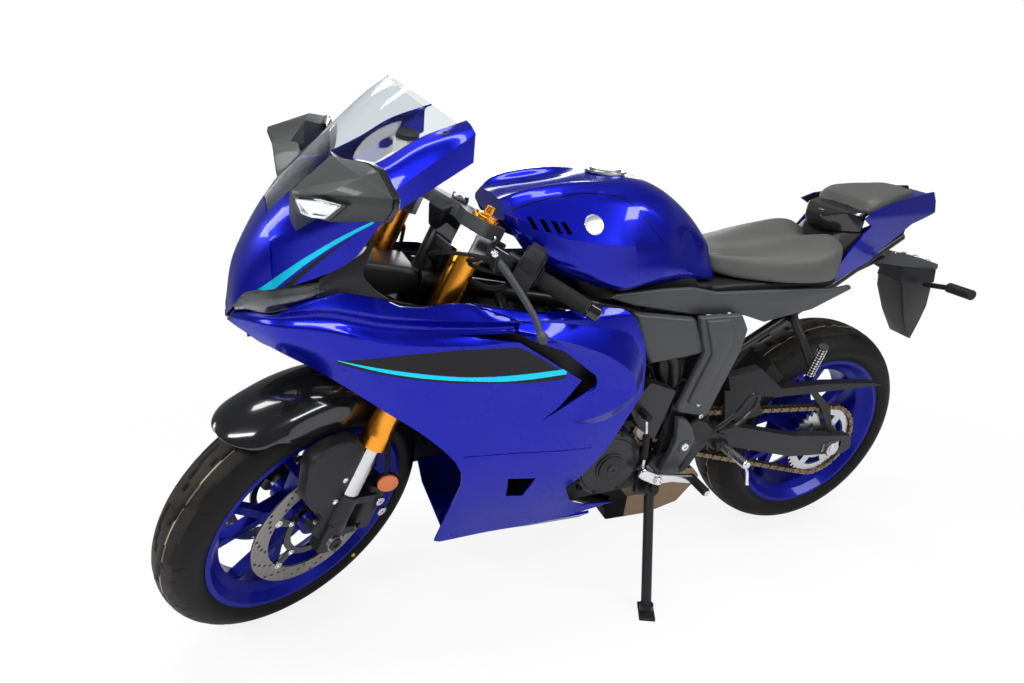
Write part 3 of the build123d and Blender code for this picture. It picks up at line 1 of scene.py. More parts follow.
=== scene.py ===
"""A middleweight faired sport motorcycle, parked on its side stand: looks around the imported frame.

Metres throughout, in the frame's own axes. Sizes typed here are of the upright machine, X forward,
Y to the rider's left, Z up, the rear contact patch under the origin; `leaned` lays them on the stand
and `steered` turns the front end to its lock as well.
"""
import bpy
import json
import math
from mathutils import Matrix, Vector


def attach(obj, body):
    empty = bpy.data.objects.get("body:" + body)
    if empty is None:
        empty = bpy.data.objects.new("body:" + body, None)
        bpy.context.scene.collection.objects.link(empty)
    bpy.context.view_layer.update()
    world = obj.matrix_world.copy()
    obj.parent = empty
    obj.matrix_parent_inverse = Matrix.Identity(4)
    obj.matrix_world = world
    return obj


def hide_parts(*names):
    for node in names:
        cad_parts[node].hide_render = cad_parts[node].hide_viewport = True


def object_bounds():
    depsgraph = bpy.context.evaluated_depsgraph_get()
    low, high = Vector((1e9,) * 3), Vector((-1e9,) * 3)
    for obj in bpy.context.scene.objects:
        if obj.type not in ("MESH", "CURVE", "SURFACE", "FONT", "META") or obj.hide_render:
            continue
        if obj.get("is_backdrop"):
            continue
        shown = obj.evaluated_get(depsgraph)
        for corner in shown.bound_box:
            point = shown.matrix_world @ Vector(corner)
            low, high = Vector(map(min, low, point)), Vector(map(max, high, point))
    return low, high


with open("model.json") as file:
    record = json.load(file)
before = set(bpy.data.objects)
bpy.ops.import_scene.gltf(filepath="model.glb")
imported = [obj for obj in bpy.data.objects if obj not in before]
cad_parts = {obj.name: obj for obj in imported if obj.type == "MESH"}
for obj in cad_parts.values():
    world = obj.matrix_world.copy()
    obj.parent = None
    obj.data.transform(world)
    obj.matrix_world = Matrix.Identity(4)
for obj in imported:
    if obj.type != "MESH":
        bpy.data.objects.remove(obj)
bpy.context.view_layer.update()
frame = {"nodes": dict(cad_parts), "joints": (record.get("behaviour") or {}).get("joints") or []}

# ---- Camera, floor and light ----
# A pale studio sweep. The camera stands close on the machine's left, ahead of its middle and as high
# as its tank, with a wide lens; five long soft lamps and a white room light the paint.
lens_pixels, picture_width, film_width = 668.0, 1024, 36.0
camera_data = bpy.data.cameras.new("studio_camera")
camera_data.sensor_width = film_width
camera_data.lens = film_width * lens_pixels / picture_width
camera = bpy.data.objects.new("studio_camera", camera_data)
bpy.context.scene.collection.objects.link(camera)
camera_place = (0.8121, 1.2964, 0.9541)
yaw, pitch, roll = -1.960, -0.224, 0.021
look = Vector((math.cos(pitch) * math.cos(yaw), math.cos(pitch) * math.sin(yaw), math.sin(pitch)))
right = Vector((math.sin(yaw), -math.cos(yaw), 0.0))
up = right.cross(look)
right, up = right * math.cos(roll) + up * math.sin(roll), up * math.cos(roll) - right * math.sin(roll)
camera.matrix_world = Matrix.Translation(camera_place) @ Matrix((right, up, -look)).transposed().to_4x4()
bpy.context.scene.camera = camera


def deselect():
    """Nothing selected and nothing active, so that an operator acts on the new piece alone."""
    if bpy.context.object and bpy.context.object.mode != "OBJECT":
        bpy.ops.object.mode_set(mode="OBJECT")
    bpy.ops.object.select_all(action="DESELECT")
    bpy.context.view_layer.objects.active = None


def new_material(name):
    """A node material, its node tree and its shader."""
    made = bpy.data.materials.new(name)
    made.use_nodes = True
    tree = made.node_tree
    return made, tree, tree.nodes["Principled BSDF"]


floor_half = 9.0
# the floor pales from start to end, in metres from its middle, by shares of the white glow
fade_start, fade_end, glow_near, glow_far = 1.1, 2.4, 0.85, 1.0
deselect()
bpy.ops.mesh.primitive_plane_add(size=2 * floor_half)
floor = bpy.context.object
floor.name = "studio_floor"
floor_paint, tree, shader = new_material("pale_floor")
shader.inputs["Base Color"].default_value = (0.86, 0.86, 0.87, 1)
shader.inputs["Roughness"].default_value = 0.6
seen = tree.nodes.new("ShaderNodeLightPath")
white = tree.nodes.new("ShaderNodeEmission")
white.inputs["Color"].default_value = (1, 1, 1, 1)
mix = tree.nodes.new("ShaderNodeMixShader")
share = tree.nodes.new("ShaderNodeMath")
share.operation = "MULTIPLY"
spread = tree.nodes.new("ShaderNodeTexCoord")
distance = tree.nodes.new("ShaderNodeVectorMath")
distance.operation = "LENGTH"
fade = tree.nodes.new("ShaderNodeMapRange")
fade.inputs["From Min"].default_value, fade.inputs["From Max"].default_value = fade_start, fade_end
fade.inputs["To Min"].default_value, fade.inputs["To Max"].default_value = glow_near, glow_far
tree.links.new(spread.outputs["Object"], distance.inputs[0])
tree.links.new(distance.outputs["Value"], fade.inputs["Value"])
tree.links.new(fade.outputs["Result"], share.inputs[1])
tree.links.new(seen.outputs["Is Camera Ray"], share.inputs[0])
tree.links.new(share.outputs[0], mix.inputs[0])
tree.links.new(shader.outputs[0], mix.inputs[1])
tree.links.new(white.outputs[0], mix.inputs[2])
tree.links.new(mix.outputs[0], tree.nodes["Material Output"].inputs["Surface"])
floor.data.materials.append(floor_paint)
floor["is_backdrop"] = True

world = bpy.data.worlds.new("studio_room")
bpy.context.scene.world = world
world.use_nodes = True
tree = world.node_tree
background = tree.nodes["Background"]
background.inputs["Color"].default_value = (0.86, 0.88, 0.92, 1)
background.inputs["Strength"].default_value = 0.22
bright = tree.nodes.new("ShaderNodeBackground")
bright.inputs["Color"].default_value = (1, 1, 1, 1)
bright.inputs["Strength"].default_value = 1.0
seen = tree.nodes.new("ShaderNodeLightPath")
either = tree.nodes.new("ShaderNodeMath")
either.operation = "MAXIMUM"
tree.links.new(seen.outputs["Is Camera Ray"], either.inputs[0])
tree.links.new(seen.outputs["Is Transmission Ray"], either.inputs[1])
mix = tree.nodes.new("ShaderNodeMixShader")
tree.links.new(either.outputs[0], mix.inputs[0])
tree.links.new(background.outputs[0], mix.inputs[1])
tree.links.new(bright.outputs[0], mix.inputs[2])
tree.links.new(mix.outputs[0], tree.nodes["World Output"].inputs["Surface"])

lamp_rows = (  # name, place, point it faces, width, height, watts
    ("key_lamp", (2.2, 1.9, 2.6), (0.2, 0.0, 0.5), 2.2, 0.35, 62.0),
    ("fill_lamp", (-1.8, 2.6, 2.3), (-0.2, 0.0, 0.5), 2.4, 0.35, 55.0),
    ("top_lamp", (0.2, 0.5, 3.2), (0.0, 0.0, 0.5), 3.4, 0.4, 70.0),
    ("front_lamp", (3.2, -0.6, 1.8), (0.4, 0.0, 0.6), 1.6, 0.5, 30.0),
    ("back_lamp", (-1.0, -3.0, 2.2), (0.0, 0.0, 0.5), 2.4, 1.0, 45.0),
)
for name, place, target, width, height, watts in lamp_rows:
    lamp_data = bpy.data.lights.new(name, "AREA")
    lamp_data.shape = "RECTANGLE"
    lamp_data.size, lamp_data.size_y = width, height
    lamp_data.energy = watts
    lamp = bpy.data.objects.new(name, lamp_data)
    bpy.context.scene.collection.objects.link(lamp)
    lamp.location = place
    lamp.rotation_euler = (Vector(target) - Vector(place)).to_track_quat("-Z", "Y").to_euler()
bpy.context.scene.view_settings.view_transform = "Standard"


# ---- Frame, subframe and brackets ----
# Welded steel tube, powder coated satin black. The shared surface effects are made here: a fine
# grain, a slow mottle of the colour, and edges that are a little round and polished by use.
def value_group(name, inputs, outputs):
    """A shader node group with float inputs and the outputs given as (name, socket type)."""
    group = bpy.data.node_groups.new(name, "ShaderNodeTree")
    for socket, default in inputs:
        made = group.interface.new_socket(socket, in_out="INPUT", socket_type="NodeSocketFloat")
        made.default_value = default
    for socket, kind in outputs:
        group.interface.new_socket(socket, in_out="OUTPUT", socket_type=kind)
    return group, group.nodes.new("NodeGroupInput"), group.nodes.new("NodeGroupOutput")


grain_group, source, result = value_group(
    "surface_grain", (("Grain", 400.0), ("Mottle", 9.0)),
    (("Fine", "NodeSocketFloat"), ("Slow", "NodeSocketFloat")))
where = grain_group.nodes.new("ShaderNodeTexCoord")
for socket, detail in (("Grain", 3.0), ("Mottle", 4.0)):
    cloud = grain_group.nodes.new("ShaderNodeTexNoise")
    cloud.inputs["Detail"].default_value = detail
    grain_group.links.new(where.outputs["Object"], cloud.inputs["Vector"])
    grain_group.links.new(source.outputs[socket], cloud.inputs["Scale"])
    grain_group.links.new(cloud.outputs["Fac"], result.inputs["Fine" if socket == "Grain" else "Slow"])

edge_group, source, result = value_group(
    "rounded_edge", (("Radius", 0.001),), (("Normal", "NodeSocketVector"), ("Edge", "NodeSocketFloat")))
bevel = edge_group.nodes.new("ShaderNodeBevel")
bevel.samples = 4
edge_group.links.new(source.outputs["Radius"], bevel.inputs["Radius"])
true_side = edge_group.nodes.new("ShaderNodeNewGeometry")
facing = edge_group.nodes.new("ShaderNodeVectorMath")
facing.operation = "DOT_PRODUCT"
edge_group.links.new(bevel.outputs["Normal"], facing.inputs[0])
edge_group.links.new(true_side.outputs["Normal"], facing.inputs[1])
rounded = edge_group.nodes.new("ShaderNodeMapRange")
rounded.inputs["From Min"].default_value = 0.995
rounded.inputs["From Max"].default_value = 0.9
edge_group.links.new(facing.outputs["Value"], rounded.inputs["Value"])
edge_group.links.new(bevel.outputs["Normal"], result.inputs["Normal"])
edge_group.links.new(rounded.outputs["Result"], result.inputs["Edge"])


def finish(name, colour, rough, metallic=0.0, coat=0.0, grain=450.0, depth=0.15, mottle=0.18,
           edge=0.0010, wear=0.25, worn=None, shine=0.3):
    """A finish with a grain of its own, a slow mottle in colour and gloss, and rounded worn edges."""
    made, tree, shader = new_material(name)
    noise = tree.nodes.new("ShaderNodeGroup")
    noise.node_tree = grain_group
    noise.inputs["Grain"].default_value = grain
    rim = tree.nodes.new("ShaderNodeGroup")
    rim.node_tree = edge_group
    rim.inputs["Radius"].default_value = edge
    dark = tuple(c * (1 - mottle) for c in colour)
    light = tuple(min(1.0, c * (1 + mottle)) for c in colour)
    tint = tree.nodes.new("ShaderNodeMix")
    tint.data_type = "RGBA"
    tint.inputs[6].default_value = (*dark, 1)
    tint.inputs[7].default_value = (*light, 1)
    tree.links.new(noise.outputs["Slow"], tint.inputs[0])
    worn_in = tree.nodes.new("ShaderNodeMix")
    worn_in.data_type = "RGBA"
    worn_in.inputs[7].default_value = (*(worn or tuple(min(1.0, c * 1.5 + 0.02) for c in colour)), 1)
    amount = tree.nodes.new("ShaderNodeMath")
    amount.operation = "MULTIPLY"
    amount.inputs[1].default_value = wear
    tree.links.new(rim.outputs["Edge"], amount.inputs[0])
    tree.links.new(amount.outputs[0], worn_in.inputs[0])
    tree.links.new(tint.outputs[2], worn_in.inputs[6])
    tree.links.new(worn_in.outputs[2], shader.inputs["Base Color"])
    gloss = tree.nodes.new("ShaderNodeMapRange")
    gloss.inputs["To Min"].default_value = max(0.02, rough - 0.06)
    gloss.inputs["To Max"].default_value = rough + 0.08
    tree.links.new(noise.outputs["Slow"], gloss.inputs["Value"])
    tree.links.new(gloss.outputs["Result"], shader.inputs["Roughness"])
    bump = tree.nodes.new("ShaderNodeBump")
    bump.inputs["Strength"].default_value = depth
    bump.inputs["Distance"].default_value = 0.0006
    tree.links.new(noise.outputs["Fine"], bump.inputs["Height"])
    tree.links.new(rim.outputs["Normal"], bump.inputs["Normal"])
    tree.links.new(bump.outputs["Normal"], shader.inputs["Normal"])
    shader.inputs["Metallic"].default_value = metallic
    shader.inputs["Specular IOR Level"].default_value = shine
    shader.inputs["Coat Weight"].default_value = coat
    shader.inputs["Coat Roughness"].default_value = 0.04
    return made


def dress(material, *names):
    """The finish goes on the frame's own pieces of these names."""
    for name in names:
        for place in frame["nodes"][name].material_slots:
            place.material = material


black_powder = finish("black_powder_coat", (0.010, 0.010, 0.011), 0.34, coat=0.1, depth=0.08)
dress(black_powder, "frame", "subframe", "cowl_stay", "stand_bracket", "front_mudguard")

# ---- Engine, its covers and the exhaust ----
# Die-cast cases painted satin black, with smoother dark covers on both sides, and an exhaust box
# welded from steel sheet that the heat has tinted bronze. Swingarm and radiator are black as well.
black_cast = finish("black_cast_alloy", (0.016, 0.016, 0.017), 0.40, metallic=0.2, grain=700, depth=0.35)
cover_paint = finish("dark_cover_paint", (0.030, 0.030, 0.033), 0.30, metallic=0.35, depth=0.12)
heat_steel = finish("heat_tinted_steel", (0.21, 0.145, 0.095), 0.34, metallic=1.0, mottle=0.45, depth=0.08)
dress(black_cast, "engine", "swingarm", "radiator", "fairing_inner")
dress(cover_paint, "engine_covers", "sprocket_cover")

# ---- Bodywork: painted panels ----
# Injection-moulded panels in deep metallic blue under clear lacquer. Each is drawn as sections
# across the machine, skinned smoothly through them, and given its wall, then cut to its outline.
blue_paint = finish("deep_blue_paint", (0.0018, 0.0052, 0.34), 0.27, metallic=0.72, coat=0.5, grain=2500,
                    depth=0.02, mottle=0.06, wear=0.05)
blue_paint.node_tree.nodes["Principled BSDF"].inputs["Coat IOR"].default_value = 1.42
blue_paint.node_tree.nodes["Principled BSDF"].inputs["IOR"].default_value = 1.3
dress(blue_paint, "nose_cowl", "belly_pan", "fuel_tank", "tail_cowl")

hub = next(joint for joint in frame["joints"] if joint["child"] == "rear_wheel")
rear_radius, nose_down, lean_angle = 0.315, math.radians(0.28728), math.radians(12.5)
tilt = Matrix.Rotation(nose_down, 4, "Y") @ Matrix.Rotation(-lean_angle, 4, "X")
leaned = Matrix.Translation(Vector(hub["pos_m"]) - tilt @ Vector((0, 0, rear_radius))) @ tilt
rake, steering_lock, steering_foot = math.radians(23.67), math.radians(29.0), Vector((1.485, 0, 0))
steering_line = Vector((-math.sin(rake), 0, math.cos(rake)))
steered = (leaned @ Matrix.Translation(steering_foot) @ Matrix.Rotation(steering_lock, 4, steering_line)
           @ Matrix.Translation(-steering_foot))
MM = 0.001


def eased(points, steps, sharp=()):
    """Points of a smooth line through the given ones, with corners at the sharp indices."""
    last = len(points) - 1
    gaps = [max((points[i + 1] - points[i]).length, 1e-9) for i in range(last)]

    def slope(i, side):
        if i in (0, last) or i in sharp:
            j = max(0, min(last - 1, i if side else i - 1))
            return (points[j + 1] - points[j]) / gaps[j]
        back, fore = (points[i] - points[i - 1]) / gaps[i - 1], (points[i + 1] - points[i]) / gaps[i]
        return (back * gaps[i] + fore * gaps[i - 1]) / (gaps[i - 1] + gaps[i])

    made = []
    for i in range(last):
        for k in range(steps):
            t = k / steps
            made.append(points[i] * (2 * t ** 3 - 3 * t ** 2 + 1) + points[i + 1] * (3 * t ** 2 - 2 * t ** 3)
                        + slope(i, True) * gaps[i] * (t ** 3 - 2 * t ** 2 + t)
                        + slope(i + 1, False) * gaps[i] * (t ** 3 - t ** 2))
    return made + [points[last]]


def draped(name, sections, along=6, across=6, sharp=(), sharp_rows=(), keep=(0, None), place=None):
    """A smooth sheet through sections, each a list of places in metres of the upright machine."""
    lines = [eased(section, across, sharp) for section in sections]
    columns = [eased(list(line), along, sharp_rows) for line in zip(*lines)]
    end = None if keep[1] is None else keep[1] * along + 1
    columns = [column[keep[0] * along:end] for column in columns]
    wide, deep = len(columns), len(columns[0])
    deselect()
    bpy.ops.mesh.primitive_grid_add(x_subdivisions=wide - 1, y_subdivisions=deep - 1, size=1)
    piece = bpy.context.object
    piece.name = piece.data.name = name
    for point in piece.data.vertices:
        i, j = round((point.co.x + 0.5) * (wide - 1)), round((point.co.y + 0.5) * (deep - 1))
        point.co = columns[i][j]
    piece.data.transform(place or leaned)
    return piece


def skinned(name, rows, **settings):
    """The same through rows of (x, [(y, z), ...]) sections in millimetres."""
    return draped(name, [[Vector((x, y, z)) * MM for y, z in points] for x, points in rows], **settings)


def applied(piece, kind, **settings):
    """One modifier on the piece, set and applied."""
    deselect()
    piece.select_set(True)
    bpy.context.view_layer.objects.active = piece
    modifier = piece.modifiers.new(kind.lower(), kind)
    for setting, value in settings.items():
        setattr(modifier, setting, value)
    bpy.ops.object.modifier_apply(modifier=modifier.name)
    return piece


def smooth(piece, angle=35):
    """Shaded smooth, with its sharp edges kept."""
    deselect()
    piece.select_set(True)
    bpy.context.view_layer.objects.active = piece
    bpy.ops.object.shade_smooth_by_angle(angle=math.radians(angle))
    return piece


def outward(piece):
    """Doubles merged and every face turned outwards."""
    deselect()
    piece.select_set(True)
    bpy.context.view_layer.objects.active = piece
    bpy.ops.object.mode_set(mode="EDIT")
    bpy.ops.mesh.select_all(action="SELECT")
    bpy.ops.mesh.remove_doubles(threshold=1e-5)
    bpy.ops.mesh.normals_make_consistent(inside=False)
    bpy.ops.object.mode_set(mode="OBJECT")
    return piece


def prism(name, outline, low, high, steps=1, sharp=(), place=None):
    """A closed side-view outline in millimetres, drawn along Y from low to high."""
    line = [Vector((x, 0, z)) * MM for x, z in outline]
    if steps > 1:
        line = eased(line + [line[0]], steps, sharp)[:-1]
    deselect()
    bpy.ops.mesh.primitive_circle_add(vertices=len(line), radius=1, fill_type="NGON")
    piece = bpy.context.object
    piece.name = piece.data.name = name
    for point, spot in zip(piece.data.vertices, line):
        point.co = spot + Vector((0, low * MM, 0))
    bpy.ops.object.mode_set(mode="EDIT")
    bpy.ops.mesh.select_all(action="SELECT")
    bpy.ops.mesh.extrude_region_move(TRANSFORM_OT_translate={"value": (0, (high - low) * MM, 0)})
    bpy.ops.mesh.select_all(action="SELECT")
    bpy.ops.mesh.normals_make_consistent(inside=False)
    bpy.ops.object.mode_set(mode="OBJECT")
    piece.data.transform(place or leaned)
    return piece


def cut(piece, tool, operation="DIFFERENCE"):
    """The tool is taken out of the piece, or keeps what lies inside it, and is then thrown away."""
    applied(piece, "BOOLEAN", operation=operation, object=tool, solver="EXACT")
    bpy.data.objects.remove(tool)
    return piece


def mirror_image(piece, name, place=None):
    """The right-hand copy of a left-hand piece."""
    home = place or leaned
    twin = piece.copy()
    twin.data = piece.data.copy()
    twin.name = twin.data.name = name
    bpy.context.scene.collection.objects.link(twin)
    twin.data.transform(home @ Matrix.Scale(-1, 4, (0, 1, 0)) @ home.inverted())
    twin.data.flip_normals()
    return twin


def fitted(piece, material, body, *nodes):
    """The piece gets its finish, rides on its body and stands for the frame's plain pieces."""
    piece.data.materials.clear()
    piece.data.materials.append(material)
    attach(piece, body)
    if nodes:
        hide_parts(*nodes)
    return piece


def whole(half):
    """A section's left half, from its middle down, as the full section from right to left."""
    return [(-y, z) for y, z in reversed(half[1:])] + half


side_rows = (  # x, then (y, z) from the top edge down: edge, ridge, channel, crease, belly, low, foot
    (1502, [(5, 745), (7, 744), (9, 742.5), (11, 740.5), (12, 737), (11, 722), (6, 706)]),
    (1470, [(46, 772), (57, 766), (59, 760), (62, 753), (59, 740), (50, 717), (34, 684)]),
    (1425, [(95, 792), (113, 783), (106, 773), (115, 762), (108, 733), (90, 700), (60, 640)]),
    (1345, [(130, 834), (158, 810), (149, 790), (163, 768), (159, 733), (138, 671), (100, 560)]),
    (1245, [(158, 838), (191, 802), (181, 778), (200, 753), (196, 708), (180, 607), (160, 400)]),
    (1110, [(184, 821), (214, 794), (204, 775), (229, 751), (221, 680), (203, 456), (150, 241)]),
    (1000, [(190, 802), (215, 788), (210, 772), (230, 752), (222, 660), (208, 440), (150, 235)]),
    (860, [(187, 802), (206, 780), (211, 757), (218, 731), (219, 650), (209, 420), (160, 240)]),
    (685, [(176, 796), (186, 775), (191, 745), (196, 715), (196, 640), (194, 430), (172, 262)]),
)
side_outline = (
    (1502, 737), (1478, 769), (1426, 781), (1377, 815), (1278, 835), (1221, 815), (1110, 818),
    (1020, 802), (949, 794), (828, 796), (760, 782), (738, 762), (708, 693), (692, 595), (812, 405),
    (847, 375), (813, 314), (700, 288), (876, 256), (1065, 245), (1125, 241), (1105, 350), (1092, 456),
    (1160, 546), (1245, 607), (1345, 671), (1425, 708))
side_slot = (
    (1118, 766), (1009, 752), (860, 652), (902, 599), (938, 569), (824, 635), (822, 653), (909, 722),
    (1010, 765))
side_low_slot = ((990, 428), (927, 420), (947, 368), (985, 374))
side_seams = (((1092, 501), (989, 497), (858, 486), (806, 481)),
              ((1216, 824), (1098, 817), (998, 785), (948, 776)))
side_sharp = (0, 3, 9, 11, 13, 15, 17, 20)  # corners of the outline that stay sharp
side_wall, side_reach, seam_half = 3.6, 260, 0.9


def upright_place(tree):
    """The place on the upright machine, in metres, as X, Y and Z sockets."""
    where = tree.nodes.new("ShaderNodeTexCoord")
    stood = tree.nodes.new("ShaderNodeMapping")
    back = leaned.inverted()
    stood.inputs["Location"].default_value = back.to_translation()
    stood.inputs["Rotation"].default_value = back.to_euler("XYZ")
    apart = tree.nodes.new("ShaderNodeSeparateXYZ")
    tree.links.new(where.outputs["Object"], stood.inputs["Vector"])
    tree.links.new(stood.outputs["Vector"], apart.inputs[0])
    return apart.outputs


def reckoned(tree, operation, *values):
    """One math node over sockets or plain numbers."""
    node = tree.nodes.new("ShaderNodeMath")
    node.operation = operation
    for socket, value in zip(node.inputs, values):
        if isinstance(value, (int, float)):
            socket.default_value = value
        else:
            tree.links.new(value, socket)
    return node.outputs[0]


curve_reach = 1200  # millimetres that a height curve's 0 to 1 stands for


def line_height(tree, along, corners, crisp=False):
    """The height of a line through (x, z) corners, in millimetres, as a socket over x in metres."""
    curve = tree.nodes.new("ShaderNodeFloatCurve")
    first, last = corners[0][0], corners[-1][0]
    points = curve.mapping.curves[0].points
    for x, z in corners[1:-1]:
        points.new((x - first) / (last - first), z / curve_reach)
    points[0].location = (0.0, corners[0][1] / curve_reach)
    points[len(points) - 1].location = (1.0, corners[-1][1] / curve_reach)
    for point in points:
        point.handle_type = "VECTOR" if crisp else "AUTO_CLAMPED"
    curve.mapping.update()
    share = reckoned(tree, "DIVIDE", reckoned(tree, "SUBTRACT", along, first * MM), (last - first) * MM)
    tree.links.new(share, curve.inputs["Value"])
    return reckoned(tree, "MULTIPLY", curve.outputs[0], curve_reach * MM)


def band(tree, place, upper, lower, start, end, crisp=False):
    """1 between the lines upper and lower and between the x limits, in millimetres, with crisp edges."""
    x, z = place[0], place[2]
    under = reckoned(tree, "LESS_THAN", z, line_height(tree, x, upper, crisp))
    over = reckoned(tree, "GREATER_THAN", z, line_height(tree, x, lower, crisp))
    after = reckoned(tree, "GREATER_THAN", x, start * MM)
    before = reckoned(tree, "LESS_THAN", x, end * MM)
    return reckoned(tree, "MULTIPLY", reckoned(tree, "MULTIPLY", under, over),
                    reckoned(tree, "MULTIPLY", after, before))


def striped(name, paint, bands):
    """The body paint with bands of other colours laid over it, in order, under the same lacquer."""
    made = paint.copy()
    made.name = name
    tree = made.node_tree
    shader = tree.nodes["Principled BSDF"]
    place = upright_place(tree)
    for colour, upper, lower, start, end, crisp in bands:
        laid = tree.nodes.new("ShaderNodeMix")
        laid.data_type = "RGBA"
        below = shader.inputs["Base Color"].links[0].from_socket
        tree.links.new(band(tree, place, upper, lower, start, end, crisp), laid.inputs[0])
        tree.links.new(below, laid.inputs[6])
        laid.inputs[7].default_value = (*colour, 1)
        tree.links.new(laid.outputs[2], shader.inputs["Base Color"])
    return made


def lined(piece, side):
    """The faces turned to the middle of the machine stay in raw black plastic."""
    piece.data.materials.append(black_powder)
    upright = leaned.to_3x3().inverted()
    for face in piece.data.polygons:
        if (upright @ face.normal).y * side < -0.15:
            face.material_index = 1


cyan, decal_black = (0.0, 0.56, 0.78), (0.004, 0.004, 0.005)
field_top = ((904, 677), (987, 731), (1014, 743), (1120, 745), (1200, 736), (1340, 708))
stripe_top = ((898, 683), (1007, 681), (1097, 685), (1235, 700), (1330, 712))
stripe_low = ((898, 671), (995, 668), (1096, 676), (1235, 692), (1330, 711))
black_low = ((898, 661), (942, 660), (1046, 667), (1235, 687), (1330, 704))
side_paint = striped("side_panel_paint", blue_paint, (
    (decal_black, field_top, stripe_top, 904, 1338, True),
    (decal_black, stripe_low, black_low, 898, 1325, False),
    (cyan, stripe_top, stripe_low, 898, 1325, False)))
fairing = skinned("side_fairing_left", side_rows, along=8, across=7, sharp=(1, 3))
outward(fairing)
applied(fairing, "SOLIDIFY", thickness=side_wall * MM, offset=0)
cut(fairing, prism("side_outline_cutter", side_outline, 0, side_reach, steps=3, sharp=side_sharp),
    "INTERSECT")
cut(fairing, prism("side_slot_cutter", side_slot, 0, side_reach))
cut(fairing, prism("low_slot_cutter", side_low_slot, 100, side_reach))
for seam in side_seams:
    strip = [(x, z + seam_half) for x, z in seam] + [(x, z - seam_half) for x, z in reversed(seam)]
    cut(fairing, prism("seam_cutter", strip, 100, side_reach))
smooth(fairing, 40)
for side, piece in ((1, fairing), (-1, mirror_image(fairing, "side_fairing_right"))):
    fitted(piece, side_paint, "chassis", "side_fairings")
    lined(piece, side)

# ---- Exhaust box: its black front ----
# The steel is bronze where it is hot; the front of the box, under the engine, is coloured black.
dark_front_back, dark_front_end, dark_front_low, dark_front_top = 590, 760, 90, 260
dark_fronted = striped("heat_tinted_box", heat_steel, (
    (decal_black, ((dark_front_back, dark_front_top), (dark_front_end, dark_front_top)),
     ((dark_front_back, dark_front_low), (dark_front_end, dark_front_low)), dark_front_back, dark_front_end, False),))
dress(dark_fronted, "exhaust")

# ---- Bodywork: the blade behind the side slot ----
# A curved blue moulding, ridged along its middle, that stands behind the slot and guides the air
# out of it. It is the same moulding on each side.
blade_lines = (  # inner edge, ridge, outer edge, each (x, y, z), along the back of the slot
    ((1012, 218, 766), (1010, 222, 772), (1006, 214, 782)),
    ((960, 219, 746), (950, 229, 758), (938, 213, 778)),
    ((909, 219, 722), (884, 231, 736), (856, 210, 764)),
    ((862, 219, 688), (806, 231, 702), (764, 206, 742)),
    ((826, 219, 652), (742, 227, 650), (712, 194, 700)),
    ((824, 219, 634), (728, 222, 616), (697, 194, 604)),
    ((852, 218, 618), (770, 225, 582), (752, 204, 548)),
    ((896, 216, 594), (842, 223, 560), (838, 206, 520)),
    ((938, 214, 569), (930, 217, 562), (928, 208, 552)),
)
blade = draped("fairing_blade_left", [[Vector(spot) * MM for spot in line] for line in blade_lines], along=4,
               across=4, sharp=(1,))
outward(blade)
applied(blade, "SOLIDIFY", thickness=2.5 * MM, offset=0)
smooth(blade, 28)
for piece in (blade, mirror_image(blade, "fairing_blade_right")):
    fitted(piece, blue_paint, "chassis")

# ---- Bodywork: the nose, its wings and the screen ----
# The pointed nose carries the machine's face and runs back into two wings beside the screen. A cyan
# line with a black shadow climbs from each lamp to the mirror. The screen is clear acrylic.
nose_rows = (
    (1503, [(0, 764), (6, 763), (9, 760), (13, 756), (17, 748)]),
    (1484, [(0, 853), (30, 838), (42, 829), (56, 814), (70, 792)]),
    (1452, [(0, 915), (48, 904), (66, 890), (84, 866), (95, 819)]),
    (1425, [(0, 956), (58, 946), (80, 931), (101, 905), (115, 830)]),
    (1360, [(0, 1030), (96, 1009), (122, 991), (142, 941), (143, 856)]),
)
nose_paint = striped("nose_paint", blue_paint, (
    (decal_black, ((1281, 944), (1320, 918), (1368, 878), (1410, 835), (1444, 797)),
     ((1281, 944), (1320, 914), (1368, 868), (1410, 822), (1444, 781)), 1283, 1440, False),
    (cyan, ((1262, 963), (1304, 940), (1350, 909), (1400, 868), (1450, 822)),
     ((1262, 959), (1304, 933), (1350, 899), (1400, 853), (1450, 801)), 1264, 1448, False)))
nose = skinned("nose_cowl_front", [(x, whole(half)) for x, half in nose_rows], along=8, across=6,
               keep=(0, 3))
outward(nose)
applied(nose, "SOLIDIFY", thickness=3.5 * MM, offset=-1)
smooth(nose, 50)
fitted(nose, nose_paint, "chassis", "nose_cowl")
wing_rows = (
    (1452, [(48, 904), (66, 890), (84, 866), (95, 819)]),
    (1425, [(58, 946), (80, 931), (101, 905), (115, 830)]),
    (1360, [(96, 1009), (122, 991), (142, 941), (143, 856)]),
    (1300, [(114, 1026), (140, 1010), (160, 972), (160, 892)]),
    (1246, [(119, 1050), (146, 1036), (168, 1003), (166, 962)]),
    (1180, [(119, 1090), (144, 1076), (164, 1048), (166, 1007)]),
    (1100, [(114, 1121), (142, 1116), (166, 1107), (166, 1060)]),
)
wing = skinned("nose_wing_left", wing_rows, along=6, across=6, sharp=(2,), keep=(1, None))
outward(wing)
applied(wing, "SOLIDIFY", thickness=3.5 * MM, offset=-1)
smooth(wing, 35)
for piece in (wing, mirror_image(wing, "nose_wing_right")):
    fitted(piece, nose_paint, "chassis", "nose_cowl")

